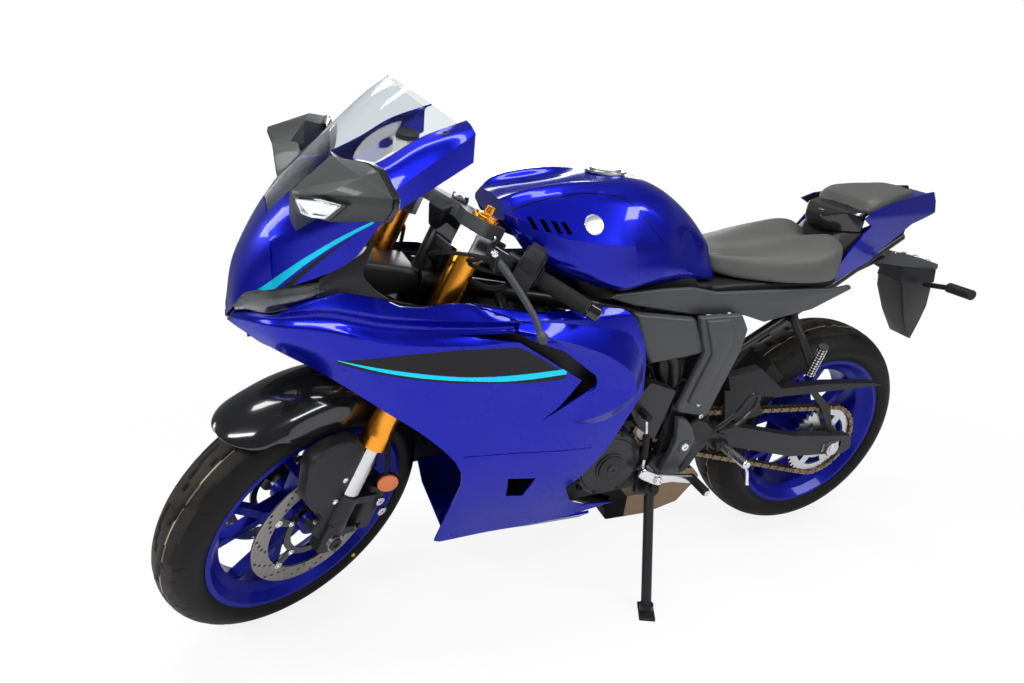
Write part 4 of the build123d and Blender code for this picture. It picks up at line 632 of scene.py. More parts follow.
screen_rows = (
    (1424, [(0, 959), (30, 956), (57, 948)]),
    (1360, [(0, 1031), (55, 1026), (95, 1012)]),
    (1300, [(0, 1090), (68, 1078), (116, 1024)]),
    (1240, [(0, 1150), (76, 1126), (122, 1050)]),
    (1180, [(0, 1200), (78, 1162), (122, 1086)]),
    (1112, [(0, 1250), (76, 1196), (115, 1116)]),
)
screen_keep = (
    (1430, 940), (1300, 960), (1112, 1060), (1112, 1112), (1160, 1143), (1214, 1176), (1240, 1200),
    (1440, 1200))
screen = skinned("windscreen_shell", [(x, whole(half)) for x, half in screen_rows], along=8, across=8)
outward(screen)
applied(screen, "SOLIDIFY", thickness=3 * MM, offset=-1)
cut(screen, prism("screen_cutter", screen_keep, -200, 200), "INTERSECT")
smooth(screen, 40)
clear_screen, tree, shader = new_material("clear_screen")
tone = tree.nodes.new("ShaderNodeTexCoord")
cloud = tree.nodes.new("ShaderNodeTexNoise")
cloud.inputs["Scale"].default_value = 30.0
haze = tree.nodes.new("ShaderNodeMapRange")
haze.inputs["To Min"].default_value, haze.inputs["To Max"].default_value = 0.01, 0.05
tree.links.new(tone.outputs["Object"], cloud.inputs["Vector"])
tree.links.new(cloud.outputs["Fac"], haze.inputs["Value"])
tree.links.new(haze.outputs["Result"], shader.inputs["Roughness"])
shader.inputs["Base Color"].default_value = (0.80, 0.84, 0.86, 1)
shader.inputs["Transmission Weight"].default_value = 1.0
shader.inputs["IOR"].default_value = 1.22
fitted(screen, clear_screen, "chassis", "windscreen")

# ---- Bodywork: the lamps and the duct panels behind them ----
# A slim lamp lies under each edge of the nose: a gloss black frame, two reflectors and a clear
# moulded lens. A satin black panel closes the side behind it up to the mouth of the air duct.
gloss_black = finish("gloss_black", (0.006, 0.006, 0.007), 0.16, coat=0.7, depth=0.03, mottle=0.1)
satin_black = finish("satin_black_plastic", (0.011, 0.011, 0.012), 0.36, grain=900, depth=0.18, shine=0.25)
slim_lamp_rows = (
    (1487, [(66, 787), (63, 780), (56, 773)]),
    (1468, [(83, 814), (80, 796), (70, 779)]),
    (1440, [(102, 826), (103, 803), (92, 779)]),
    (1400, [(124, 838), (127, 817), (114, 794)]),
    (1346, [(142, 850), (146, 838), (139, 824)]),
)
duct_rows = (
    (1352, [(143, 853), (149, 842), (142, 826)]),
    (1318, [(153, 882), (157, 856), (146, 826)]),
    (1284, [(160, 903), (164, 868), (158, 828)]),
    (1262, [(163, 930), (168, 880), (166, 828)]),
    (1236, [(164, 930), (172, 868), (170, 818)]),
)
duct_outline = (
    (1352, 856), (1300, 902), (1262, 926), (1272, 900), (1281, 868), (1266, 846), (1222, 814),
    (1352, 818))
reflector = finish("lamp_reflector", (0.10, 0.105, 0.11), 0.2, metallic=1.0, grain=260, depth=0.6,
                   mottle=0.5)
lamp_glass, tree, shader = new_material("clear_lamp_lens")
ribs = tree.nodes.new("ShaderNodeTexCoord")
ripple = tree.nodes.new("ShaderNodeTexNoise")
ripple.inputs["Scale"].default_value = 90.0
raised = tree.nodes.new("ShaderNodeBump")
raised.inputs["Strength"].default_value = 0.15
raised.inputs["Distance"].default_value = 0.001
tree.links.new(ribs.outputs["Object"], ripple.inputs["Vector"])
tree.links.new(ripple.outputs["Fac"], raised.inputs["Height"])
tree.links.new(raised.outputs["Normal"], shader.inputs["Normal"])
shader.inputs["Base Color"].default_value = (0.93, 0.94, 0.95, 1)
shader.inputs["Transmission Weight"].default_value = 1.0
shader.inputs["Roughness"].default_value = 0.03
shader.inputs["IOR"].default_value = 1.25


def pair(piece, material, body, *nodes):
    """The left piece and its mirror image on the right, both fitted alike."""
    twin = mirror_image(piece, piece.name.replace("_left", "_right"))
    for side in (piece, twin):
        fitted(side, material, body, *nodes)


lamp_frame = skinned("lamp_frame_left", slim_lamp_rows, along=6, across=4)
outward(lamp_frame)
applied(lamp_frame, "SOLIDIFY", thickness=3 * MM, offset=0)
smooth(lamp_frame, 40)
pair(lamp_frame, gloss_black, "chassis", "position_lamps")
for index, (low_x, high_x) in enumerate(((1416, 1458), (1358, 1408))):
    mirror_strip = skinned(f"lamp_reflector_{index}_left", [
        (x, [(top[0] + 2.2, top[1] - 5), (mid[0] + 2.6, mid[1] + 2), (mid[0] + 1.2, mid[1] - 7)])
        for x, (top, mid, _) in slim_lamp_rows], along=8, across=3)
    applied(mirror_strip, "SOLIDIFY", thickness=1.5 * MM, offset=0)
    cut(mirror_strip, prism("strip_keep", ((low_x, 700), (low_x + 4, 900), (high_x + 8, 900), (high_x, 700)),
                            0, 200), "INTERSECT")
    smooth(mirror_strip, 30)
    pair(mirror_strip, reflector, "chassis")
lens = skinned("lamp_lens_left", [
    (x, [(top[0] + 3, top[1] - 2), (mid[0] + 6, mid[1]), (foot[0] + 5, foot[1] + 2)])
    for x, (top, mid, foot) in slim_lamp_rows], along=6, across=4)
outward(lens)
applied(lens, "SOLIDIFY", thickness=1.6 * MM, offset=0)
smooth(lens, 40)
pair(lens, lamp_glass, "chassis")
duct = skinned("duct_panel_left", duct_rows, along=6, across=5)
outward(duct)
applied(duct, "SOLIDIFY", thickness=3 * MM, offset=0)
cut(duct, prism("duct_keep", duct_outline, 0, 260, steps=4, sharp=(0, 2, 6, 7)), "INTERSECT")
smooth(duct, 40)
pair(duct, satin_black, "chassis")

# ---- Bodywork: the chin ----
# A satin black tray under the nose, moulded in one piece, which closes the gap between the side
# panels above the tyre. Clips hold it to both of them.
chin_rows = (
    (1504, [(0, 742), (8, 743), (12, 746)]),
    (1480, [(0, 715), (30, 730), (46, 748)]),
    (1440, [(0, 684), (44, 696), (68, 720)]),
    (1400, [(0, 678), (56, 684), (86, 707)]),
    (1345, [(0, 676), (70, 684), (106, 700)]),
)
chin = skinned("chin_duct", [(x, whole(half)) for x, half in chin_rows], along=6, across=5)
outward(chin)
applied(chin, "SOLIDIFY", thickness=3 * MM, offset=0)
smooth(chin, 40)
fitted(chin, satin_black, "chassis")

# ---- Mirrors ----
# Moulded satin housings on short arms, faceted like folded sheet, each with an indicator lens in its
# leading face and its glass in a rim at the back, turned a little towards the rider.
def faceted(name, corners, soft=0.8, place=None):
    """The tight closed solid around a few corners in millimetres, with its edges a little broken."""
    deselect()
    bpy.ops.mesh.primitive_circle_add(vertices=len(corners), radius=1)
    piece = bpy.context.object
    piece.name = piece.data.name = name
    for point, spot in zip(piece.data.vertices, corners):
        point.co = Vector(spot) * MM
    bpy.ops.object.mode_set(mode="EDIT")
    bpy.ops.mesh.select_all(action="SELECT")
    bpy.ops.mesh.convex_hull(face_threshold=0.05, shape_threshold=0.05)
    bpy.ops.mesh.select_all(action="SELECT")
    bpy.ops.mesh.normals_make_consistent(inside=False)
    bpy.ops.object.mode_set(mode="OBJECT")
    if soft:
        applied(piece, "BEVEL", width=soft * MM, segments=2, limit_method="ANGLE",
                angle_limit=math.radians(12))
    piece.data.transform(place or leaned)
    smooth(piece, 18)
    return piece


mirror_rim = (
    (1303, 190, 1062), (1290, 250, 1069), (1281, 285, 1066), (1273, 345, 1041), (1274, 346, 1027),
    (1279, 322, 1003), (1285, 250, 985), (1300, 196, 996))
housing_front = (
    (1335, 185, 1068), (1400, 285, 1038), (1402, 288, 1028), (1394, 284, 1005), (1372, 285, 999),
    (1352, 300, 997), (1362, 322, 1041), (1312, 322, 1065), (1290, 340, 1034), (1330, 330, 1028),
    (1380, 205, 1000), (1340, 188, 1000))
rim_middle_y, rim_middle_z = 262, 1026
mirror_grey = finish("mirror_housing_grey", (0.036, 0.038, 0.038), 0.42, coat=0.15, grain=900, depth=0.12)
housing = faceted("mirror_housing_left", housing_front + mirror_rim)
pair(housing, mirror_grey, "chassis", "mirrors")


def rim_ring(wide, high, *steps):
    """The rim's corners grown or shrunk about its middle, at each step towards the rider."""
    return [(x + step, rim_middle_y + (y - rim_middle_y) * wide, rim_middle_z + (z - rim_middle_z) * high)
            for x, y, z in mirror_rim for step in steps]


def slab(face, *steps):
    """The corners of a face, moved by each (x, y) step in turn."""
    return [(x + ahead, y + out, z) for ahead, out in steps for x, y, z in face]


flange = faceted("mirror_rim_left", rim_ring(1.03, 1.05, -1, -9), 1.2)
pair(flange, gloss_black, "chassis")
glass = faceted("mirror_glass_left", rim_ring(0.94, 0.9, -8, -11), 0.4)
silvered = finish("silvered_glass", (0.85, 0.87, 0.88), 0.03, metallic=1.0, depth=0.01, mottle=0.03,
                  wear=0.0)
pair(glass, silvered, "chassis")
arm = faceted("mirror_arm_left", ((1338, 120, 972), (1392, 116, 948), (1384, 128, 934), (1344, 132, 956),
                                  (1350, 150, 996), (1396, 148, 972), (1350, 215, 1040), (1398, 215, 1024),
                                  (1392, 215, 1000), (1350, 215, 1004)), 2.0)
pair(arm, mirror_grey, "chassis")
lens_face = (
    (1394, 266, 1024), (1397, 298, 1034), (1365, 325, 1037), (1333, 340, 1031), (1352, 312, 1003),
    (1373, 300, 1003), (1386, 280, 1004))
bezel = faceted("indicator_bezel_left", slab(lens_face, (2.5, 3.5), (-12, -16)), 0.6)
pair(bezel, gloss_black, "chassis")
lens_x, lens_y, lens_z, lens_share = 1366, 303, 1021, 0.84
inner_face = [(lens_x + (x - lens_x) * lens_share + 6, lens_y + (y - lens_y) * lens_share + 9,
               lens_z + (z - lens_z) * 0.80) for x, y, z in lens_face]
bowl = faceted("indicator_bowl_left", slab(inner_face, (-1, -1.5), (-9, -12)), 0.4)
pair(bowl, silvered, "chassis")
cover = faceted("indicator_lens_left", slab(inner_face, (1, 1.5), (-0.2, -0.3)), 0.3)
pair(cover, lamp_glass, "chassis")

# ---- Bodywork: the tank cover ----
# One moulded cover over the steel tank: a broad crowned roof, a sharp shoulder line and hollow
# knee recesses, with four slanted vents in its left and right cheeks by a plain round badge.
tank_rows = (  # x, top, seam, crease, low, bottom, depth of the hollow in the roof
    (1004, 978, (74, 960), (86, 952), (88, 944), 936, 4),
    (985, 992, (90, 971), (112, 950), (116, 930), 912, 10),
    (960, 1002, (97, 980), (130, 940), (134, 904), 880, 15),
    (920, 1010, (99, 991), (148, 926), (149, 874), 856, 17),
    (850, 1018, (98, 1001), (160, 916), (150, 842), 830, 13),
    (790, 1021, (98, 997), (157, 909), (146, 816), 810, 3),
    (750, 1021, (98, 990), (149, 903), (142, 808), 806, 0),
    (700, 1016, (101, 973), (134, 899), (134, 812), 806, 0),
    (640, 998, (106, 933), (119, 893), (126, 820), 806, 0),
    (580, 965, (76, 931), (93, 880), (112, 822), 804, 0),
    (525, 924, (60, 897), (79, 860), (98, 808), 800, 0),
    (482, 882, (45, 869), (61, 842), (84, 802), 798, 0),
)
tank_sections = []
for x, top, seam, crease, low, bottom, hollow in tank_rows:
    brow = top - (top - seam[1]) * 0.3
    inner = (seam[0] * 0.56, top - (top - seam[1]) * 0.12 - hollow)
    foot = (low[0] - 16, bottom)
    tank_sections.append((x, whole([(0, top - hollow), inner, (seam[0] * 0.72, brow), seam, crease, low,
                                    foot])))
front_x, front_points = tank_sections[0]
closing = (front_x + 0.6, [(y * 0.1, 930 + (z - 930) * 0.1) for y, z in front_points])
tank = skinned("tank_cover", [closing] + tank_sections, along=7, across=5, sharp=(2, 3, 9, 10),
               sharp_rows=(1,))
outward(tank)
applied(tank, "SOLIDIFY", thickness=2.5 * MM, offset=-1)
vent_rows = ((957, 944, 112), (934, 942, 126), (912, 940, 134), (893, 939, 139))
for x, z, y in vent_rows:
    for side in (1, -1):
        slit = prism("vent_cutter", ((x - 6, z - 10), (x + 4, z - 10), (x + 14, z + 10), (x + 4, z + 10)),
                     side * y - 40, side * y + 40)
        cut(tank, slit)
smooth(tank, 24)
seam_line = (
    (640, 884), (690, 930), (730, 972), (765, 990), (800, 995), (850, 997), (920, 987), (960, 976),
    (1000, 958))
tank_paint = striped("tank_paint", blue_paint, (
    (decal_black, [(x, z + 1.2) for x, z in seam_line], [(x, z - 1.2) for x, z in seam_line], 642, 1000,
     True),))
fitted(tank, tank_paint, "chassis", "fuel_tank")

deselect()
badge_radius, badge_thick = 20.5, 4.0
bpy.ops.mesh.primitive_cylinder_add(vertices=64, radius=badge_radius * MM, depth=badge_thick * MM)
badge = bpy.context.object
badge.name = badge.data.name = "tank_badge_left"
applied(badge, "BEVEL", width=0.0012, segments=3)
badge_place, badge_faces = Vector((0.840, 0.1412, 0.9456)), Vector((0.0, 0.86, 0.51))
turned_out = badge_faces.to_track_quat("Z", "X").to_matrix().to_4x4()
badge.data.transform(leaned @ Matrix.Translation(badge_place) @ turned_out)
smooth(badge, 40)
silver_badge = finish("silver_badge", (0.62, 0.63, 0.65), 0.22, metallic=1.0, coat=0.6, depth=0.02)
for piece in (badge, mirror_image(badge, "tank_badge_right")):
    fitted(piece, silver_badge, "chassis")

# ---- Seats ----
# Moulded foam under black grained vinyl: the rider's saddle, scooped and wide at its back, and a
# small wedge of a pad for the passenger. Both swell a little between their edges.
seat_vinyl = finish("seat_vinyl", (0.078, 0.079, 0.074), 0.38, grain=1600, depth=0.5, mottle=0.12,
                    edge=0.003, wear=0.1)
saddle_rows = (  # x, half width, edge height, top, underside, hollow along the middle
    (484, 40, 834, 846, 816, 0), (470, 66, 836, 852, 811, 0), (440, 86, 830, 858, 804, 0),
    (360, 119, 826, 866, 800, 4), (280, 138, 824, 881, 799, 7), (210, 142, 828, 893, 799, 12),
    (170, 134, 836, 900, 800, 24), (142, 118, 846, 898, 804, 32), (124, 100, 850, 888, 812, 26),
    (114, 80, 852, 872, 818, 10))
pad_rows = (
    (60, 78, 956, 966, 950, 0), (56, 82, 960, 979, 947, 0), (40, 84, 966, 991, 946, 0),
    (0, 77, 972, 1000, 952, 0), (-50, 62, 979, 1004, 960, 0), (-100, 47, 988, 1006, 968, 0),
    (-122, 40, 990, 1001, 974, 0))


def cushion(name, rows, crown, *nodes):
    """A closed pad over its rows, with rolled edges."""
    closed = []
    for x, half, edge, top, low, dip in rows:
        side = [(0, low), (half * 0.8, low), (half - 1, low + 6), (half, edge),
                (half * 0.93, (top + edge) / 2 + crown), (half * 0.6, top - crown * 0.4), (0, top - dip)]
        closed.append((x, [(-y, z) for y, z in side] + [(y, z) for y, z in reversed(side[:-1])]))

    def gathered(row, ahead):
        """A row drawn in almost to a point, to close an end."""
        x, ring = row
        middle = sum(z for _, z in ring) / len(ring)
        return x + ahead, [(y * 0.05, middle + (z - middle) * 0.05) for y, z in ring]

    ends = gathered(closed[0], 2), gathered(closed[-1], -2)
    pad = skinned(name, [ends[0]] + closed + [ends[1]], along=5, across=5)
    outward(pad)
    smooth(pad, 60)
    fitted(pad, seat_vinyl, "chassis", *nodes)
    return pad


saddle = cushion("rider_saddle", saddle_rows, 5, "rider_seat")
rear_pad = cushion("passenger_pad", pad_rows, 3, "passenger_seat")

# ---- Tail ----
# Two blue flanks rise from the seat to a slim tip, each a curved shell cut to its outline. A blue
# bridge joins them over the red lamp, and gloss and satin black covers fill the step of the seat.
tail_outline = (
    (128, 786), (112, 845), (80, 892), (54, 926), (92, 945), (60, 962), (-40, 982), (-120, 992),
    (-200, 998), (-216, 975), (-220, 946), (-196, 938), (-130, 920), (-88, 892), (-40, 858), (20, 812),
    (72, 790))
tail_bow = ((-9, 1012), (-3, 975), (3, 950), (-3, 900), (-9, 850), (-18, 780))
tail_rows = [(x, [(y + out, z) for out, z in tail_bow])
             for x, y in ((150, 113), (60, 97), (-60, 74), (-180, 50), (-240, 38))]
tail = skinned("tail_flank_left", tail_rows, along=6, across=5, sharp=(2,))
outward(tail)
applied(tail, "SOLIDIFY", thickness=5 * MM, offset=0)
cut(tail, prism("tail_cutter", tail_outline, 0, 260, steps=3, sharp=(0, 3, 4, 5, 8, 9, 10, 12)), "INTERSECT")
smooth(tail, 35)
for piece, side in ((tail, 1), (mirror_image(tail, "tail_flank_right"), -1)):
    fitted(piece, blue_paint, "chassis", "tail_cowl")
    lined(piece, side)


def both_hands(corners):
    """The corners of a left half and their mirror images."""
    return [(x, side * y, z) for x, y, z in corners for side in (1, -1)]


tail_bridge = faceted("tail_bridge", both_hands(((-104, 57, 984), (-104, 57, 962), (-190, 44, 992),
                                                 (-190, 44, 958), (-208, 40, 990), (-208, 40, 952))), 3)
fitted(tail_bridge, blue_paint, "chassis")
lock_cover = faceted("seat_lock_cover", both_hands((
    (60, 80, 957), (70, 84, 940), (108, 62, 950), (146, 26, 934), (148, 20, 922), (128, 26, 898),
    (108, 58, 902), (72, 86, 908), (60, 80, 900))), 3)
fitted(lock_cover, gloss_black, "chassis", "tail_cover")
deck = faceted("tail_deck", both_hands(((140, 30, 868), (132, 84, 846), (104, 60, 900), (66, 88, 906),
                                        (60, 86, 830), (130, 80, 806))), 3)
fitted(deck, satin_black, "chassis")
tail_light = faceted("tail_light_lens", both_hands(((-196, 34, 954), (-216, 32, 950), (-214, 32, 930),
                                                   (-188, 34, 934))), 2)
red_lens = finish("red_lens", (0.35, 0.005, 0.005), 0.12, coat=1.0)
dress(red_lens, "tail_lamp")
fitted(tail_light, red_lens, "chassis", "tail_lamp")

# ---- Plain covers, rubbers and small steel parts ----
# The frame's own pieces whose solids already have the right shape get their finishes here: dark
# grey satin and matt black plastic, black rubber, brushed and cast metal.
grey_satin = finish("dark_grey_satin", (0.045, 0.047, 0.052), 0.45, depth=0.2)
dress(grey_satin, "side_covers", "frame_covers", "mirrors", "yokes")
matt_black = finish("matt_black_plastic", (0.012, 0.012, 0.013), 0.50, grain=900, depth=0.3, shine=0.25)
dress(matt_black, "chain_guard", "rear_fender", "tail_cover", "rear_indicators", "instrument_panel",
      "controls", "headlamp", "position_lamps", "rider_seat", "passenger_seat")
rubber = finish("black_rubber", (0.009, 0.009, 0.009), 0.60, grain=1200, depth=0.4, shine=0.2)
dress(rubber, "grips", "front_tyre", "rear_tyre")
steel = finish("brushed_steel", (0.52, 0.52, 0.53), 0.28, metallic=1.0, depth=0.06)
dress(steel, "front_discs", "rear_disc", "front_axle", "rear_axle", "pivot_shaft", "rear_sprocket",
      "drive_sprocket", "brake_pedal", "fuel_cap", "clip_ons")
dress(black_cast, "front_calipers", "rear_caliper", "side_stand", "rear_shock", "passenger_pegs")

# ---- Wheels ----
# Cast alloy in blue paint, a little duller than the panels and without their thick lacquer. They
# turn in sealed bearings on steel axles, which stay bare.
blue_wheel = finish("blue_wheel_paint", (0.003, 0.006, 0.24), 0.36, metallic=0.35, coat=0.15, mottle=0.08,
                    depth=0.05, shine=0.25)
blue_wheel.node_tree.nodes["Principled BSDF"].inputs["IOR"].default_value = 1.3
dress(blue_wheel, "front_rim", "rear_rim")

# ---- Fork ----
# Gold anodised outer tubes over ground steel legs. Each leg ends in a black cast axle carrier, so
# its finish turns from steel to black paint below a height measured along the leg.
front_axle_x, front_axle_z = 1395.0, 300.0
gold_fork = finish("gold_anodised", (0.83, 0.33, 0.035), 0.26, metallic=1.0, depth=0.03, mottle=0.06)
dress(gold_fork, "fork_outers")
carrier_black, carrier_top = (0.012, 0.012, 0.013), 0.113
fork_leg = finish("fork_leg_steel", (0.58, 0.58, 0.59), 0.20, metallic=1.0, depth=0.03)
tree = fork_leg.node_tree
shader = tree.nodes["Principled BSDF"]
leg_foot = steered @ (Vector((front_axle_x, 0.0, front_axle_z)) * MM)
leg_way = (steered.to_3x3() @ steering_line).normalized()
where = tree.nodes.new("ShaderNodeTexCoord")
along = tree.nodes.new("ShaderNodeVectorMath")
along.operation = "DOT_PRODUCT"
along.inputs[1].default_value = leg_way
tree.links.new(where.outputs["Object"], along.inputs[0])
low_part = reckoned(tree, "LESS_THAN", along.outputs["Value"], leg_way.dot(leg_foot) + carrier_top)
painted = tree.nodes.new("ShaderNodeMix")
painted.data_type = "RGBA"
painted.inputs[7].default_value = (*carrier_black, 1)
tree.links.new(low_part, painted.inputs[0])
tree.links.new(shader.inputs["Base Color"].links[0].from_socket, painted.inputs[6])
tree.links.new(painted.outputs[2], shader.inputs["Base Color"])
tree.links.new(reckoned(tree, "SUBTRACT", 1.0, low_part), shader.inputs["Metallic"])
tree.links.new(reckoned(tree, "ADD", reckoned(tree, "MULTIPLY", low_part, 0.25), 0.18),
               shader.inputs["Roughness"])
dress(fork_leg, "fork_lowers")

# ---- Front mudguard and fork guards ----
# Gloss black moulding that follows the tyre, held to the fork legs by two matt guards, each with
# two bright screws. It turns with the steering, so it is drawn straight ahead and then steered.
guard_rows = (  # angle round the axle, radius, half width, depth of the side
    (169, 321, 58, 18), (163, 324, 64, 34), (148, 331, 68, 50), (132, 338, 71, 62), (112, 343, 73, 74),
    (98, 346, 74, 84), (88, 347, 74, 90), (80, 347, 74, 84), (75, 347, 74, 56), (71, 347, 73, 38),
    (67, 346, 69, 32), (64, 345, 59, 24), (61.6, 344, 43, 14), (60.2, 343, 24, 5), (59.7, 343, 8, 2))
sections = []
for angle, radius, half, deep in guard_rows:
    turn = math.radians(angle)
    crown = min(deep * 0.85, 34)
    profile = [(0, radius), (half * 0.4, radius - crown * 0.11), (half * 0.72, radius - crown * 0.42),
               (half * 0.93, radius - crown * 0.85), (half, radius - max(crown * 1.05, deep * 0.6)),
               (half, radius - deep)]
    sections.append([Vector((front_axle_x + r * math.cos(turn), y, front_axle_z + r * math.sin(turn))) * MM
                     for y, r in whole(profile)])
mudguard = draped("front_mudguard_shell", sections, along=7, across=6, place=steered)
outward(mudguard)
applied(mudguard, "SOLIDIFY", thickness=3 * MM, offset=0)
smooth(mudguard, 50)
fitted(mudguard, gloss_black, "steering", "front_mudguard")
fork_guard_outline = (
    (1325, 523), (1326, 500), (1334, 440), (1338, 376), (1358, 330), (1368, 292), (1384, 280),
    (1410, 300), (1435, 350), (1416, 368), (1440, 410), (1452, 448), (1452, 510), (1446, 545),
    (1420, 560), (1380, 560), (1345, 548))
still = Matrix.Identity(4)
fork_guard = prism("fork_guard_left", fork_guard_outline, 78, 112, steps=4, place=still)
applied(fork_guard, "BEVEL", width=9 * MM, segments=4, limit_method="ANGLE", angle_limit=math.radians(40))
guard_middle_x, guard_middle_z = 1390, 470
hollow_outline = [(guard_middle_x + (x - guard_middle_x) * 0.88,
                   guard_middle_z + (z - guard_middle_z) * 0.96)
                  for x, z in fork_guard_outline]
cut(fork_guard, prism("fork_guard_hollow", hollow_outline, 40, 106, steps=4, place=still))
fork_guard.data.transform(steered)
smooth(fork_guard, 40)
for piece in (fork_guard, mirror_image(fork_guard, "fork_guard_right", steered)):
    fitted(piece, satin_black, "steering")


def screw(name, spot, axis, radius, height, place=None, socket=0.55):
    """A round-headed screw in millimetres, its head's edge rolled and a six-sided socket sunk in it."""
    deselect()
    bpy.ops.mesh.primitive_cylinder_add(vertices=24, radius=radius * MM, depth=height * MM)
    piece = bpy.context.object
    piece.name = piece.data.name = name
    applied(piece, "BEVEL", width=min(radius, height) * 0.28 * MM, segments=3, limit_method="ANGLE",
            angle_limit=math.radians(50))
    if socket:
        deselect()
        bpy.ops.mesh.primitive_cylinder_add(vertices=6, radius=radius * socket * MM, depth=height * MM,
                                            location=(0, 0, height * 0.62 * MM))
        cut(piece, bpy.context.object)
    turned_up = Vector(axis).to_track_quat("Z", "X").to_matrix().to_4x4()
    piece.data.transform((place or leaned) @ Matrix.Translation(Vector(spot) * MM) @ turned_up)
    smooth(piece, 35)
    return piece


bright_zinc = finish("bright_zinc", (0.66, 0.66, 0.67), 0.22, metallic=1.0, depth=0.04)
amber_lens = finish("amber_lens", (0.80, 0.16, 0.01), 0.14, coat=1.0, grain=220, depth=0.9, mottle=0.35)
hands = ((1, "left"), (-1, "right"))
fork_fittings = (  # label, place, way it faces, radius, height, socket, finish
    ("fork_guard_screw_0", (1368, 112.5, 455), (0, 1, 0), 6.5, 5, 0.55, bright_zinc),
    ("fork_guard_screw_1", (1388, 112.5, 405), (0, 1, 0), 6.5, 5, 0.55, bright_zinc),
    ("caliper_cap_0", (1276, 122, 341), (0, 1, 0), 11, 6, 0.3, bright_zinc),
    ("caliper_cap_1", (1267, 122, 303), (0, 1, 0), 11, 6, 0.3, bright_zinc),
    ("fork_reflector", (1260, 121, 386), (0.5, 1, 0.1), 23, 6, 0, amber_lens),
    ("fork_reflector_back", (1257, 115, 385), (0.5, 1, 0.1), 24, 8, 0, satin_black),
    ("axle_clamp_cap", (front_axle_x, 134, front_axle_z), (0, 1, 0), 15, 8, 0.5, satin_black),
)
for side, hand in hands:
    for label, (x, y, z), (ahead, out, high), radius, height, socket, material in fork_fittings:
        fitting = screw(f"{label}_{hand}", (x, side * y, z), (ahead, side * out, high), radius, height,
                        steered, socket)
        fitted(fitting, material, "steering")

# ---- Tyres ----
# Radial tyres with slick shoulders and long curved grooves, moulded in black rubber. The tread is
# dulled by its first miles, and a pale line from the mould runs beside the middle.
tread_starts, groove_shade_depth = 240, 2.5  # radius where grooves may begin; depth at which their painted shade turns full black


def turned(name, profile, around, steps=4, sharp=(), relief=None):
    """A closed ring, its (y, radius) profile in millimetres turned about the Y axis through the origin."""
    line = [(p.x, p.y) for p in eased([Vector((y, r, 0)) for y, r in profile], steps, sharp)]
    wide, deep = len(line), around
    deselect()
    bpy.ops.mesh.primitive_grid_add(x_subdivisions=wide - 1, y_subdivisions=deep, size=1)
    piece = bpy.context.object
    piece.name = piece.data.name = name
    across, sunk = [], []
    for point in piece.data.vertices:
        i, j = round((point.co.x + 0.5) * (wide - 1)), round((point.co.y + 0.5) * deep) % deep
        y, r = line[i]
        angle = 2 * math.pi * j / deep
        depth = relief(angle, y) if relief and r > tread_starts else 0.0
        # painted shade: the share of black laid in each groove, growing with its depth
        sunk.append(min(1.0, depth / groove_shade_depth))
        r -= depth
        point.co = Vector((r * math.cos(angle), y, r * math.sin(angle))) * MM
        across.append(y * MM)
    for label, values in (("across", across), ("sunk", sunk)):
        marks = piece.data.attributes.new(label, "FLOAT", "POINT")
        marks.data.foreach_set("value", values)
    outward(piece)
    return piece


def tread(radius, pitches, cuts):
    """The depth of the grooves at an angle round the tyre and a distance across it, in millimetres."""
    pitch = 2 * math.pi / pitches

    def depth(angle, y):
        deepest = 0.0
        along = (angle + (pitch / 2 if y < 0 else 0)) % pitch * radius
        for (a0, y0), (a1, y1), half, down in cuts:
            for shift in (-pitch * radius, 0.0):
                s0, s1 = a0 * radius * pitch, a1 * radius * pitch
                ds, dy = s1 - s0, y1 - y0
                t = max(0.0, min(1.0, ((along + shift - s0) * ds + (abs(y) - y0) * dy) / (ds * ds + dy * dy)))
                away = math.hypot(along + shift - s0 - ds * t, abs(y) - y0 - dy * t)
                deepest = max(deepest, down * max(0.0, min(1.0, (half + 0.9 - away) / 1.4)))
        return deepest
    return depth


def tyre_rubber(name, radius_line):
    """Black rubber, browner and duller on the tread, with a thin pale mould line and painted shade in the
    grooves.
    """
    made = finish(name, (0.0055, 0.0055, 0.0058), 0.55, grain=1300, depth=0.35, mottle=0.25, wear=0.0,
                  shine=0.16)
    tree = made.node_tree
    shader = tree.nodes["Principled BSDF"]
    across = tree.nodes.new("ShaderNodeAttribute")
    across.attribute_name = "across"
    y = across.outputs["Fac"]
    below = shader.inputs["Base Color"].links[0].from_socket
    scrub = tree.nodes.new("ShaderNodeTexNoise")
    scrub.inputs["Scale"].default_value = 40.0
    where = tree.nodes.new("ShaderNodeTexCoord")
    tree.links.new(where.outputs["Object"], scrub.inputs["Vector"])
    inside = reckoned(tree, "LESS_THAN", reckoned(tree, "ABSOLUTE", y), radius_line * 2.4)
    dusty = reckoned(tree, "MULTIPLY", inside, reckoned(tree, "MULTIPLY", scrub.outputs["Fac"], 0.9))
    beside = reckoned(tree, "ABSOLUTE", reckoned(tree, "SUBTRACT", y, radius_line))
    line = reckoned(tree, "LESS_THAN", beside, 0.0014)
    # painted shade: the grooves darken to near black by that share
    hollow = tree.nodes.new("ShaderNodeAttribute")
    hollow.attribute_name = "sunk"
    faint = reckoned(tree, "MULTIPLY", line, 0.75)
    for mask, colour in ((dusty, (0.034, 0.028, 0.020)), (faint, (0.42, 0.36, 0.26)),
                         (hollow.outputs["Fac"], (0.002, 0.002, 0.002))):
        laid = tree.nodes.new("ShaderNodeMix")
        laid.data_type = "RGBA"
        tree.links.new(mask, laid.inputs[0])
        tree.links.new(below, laid.inputs[6])
        laid.inputs[7].default_value = (*colour, 1)
        below = laid.outputs[2]
    tree.links.new(below, shader.inputs["Base Color"])
    return made


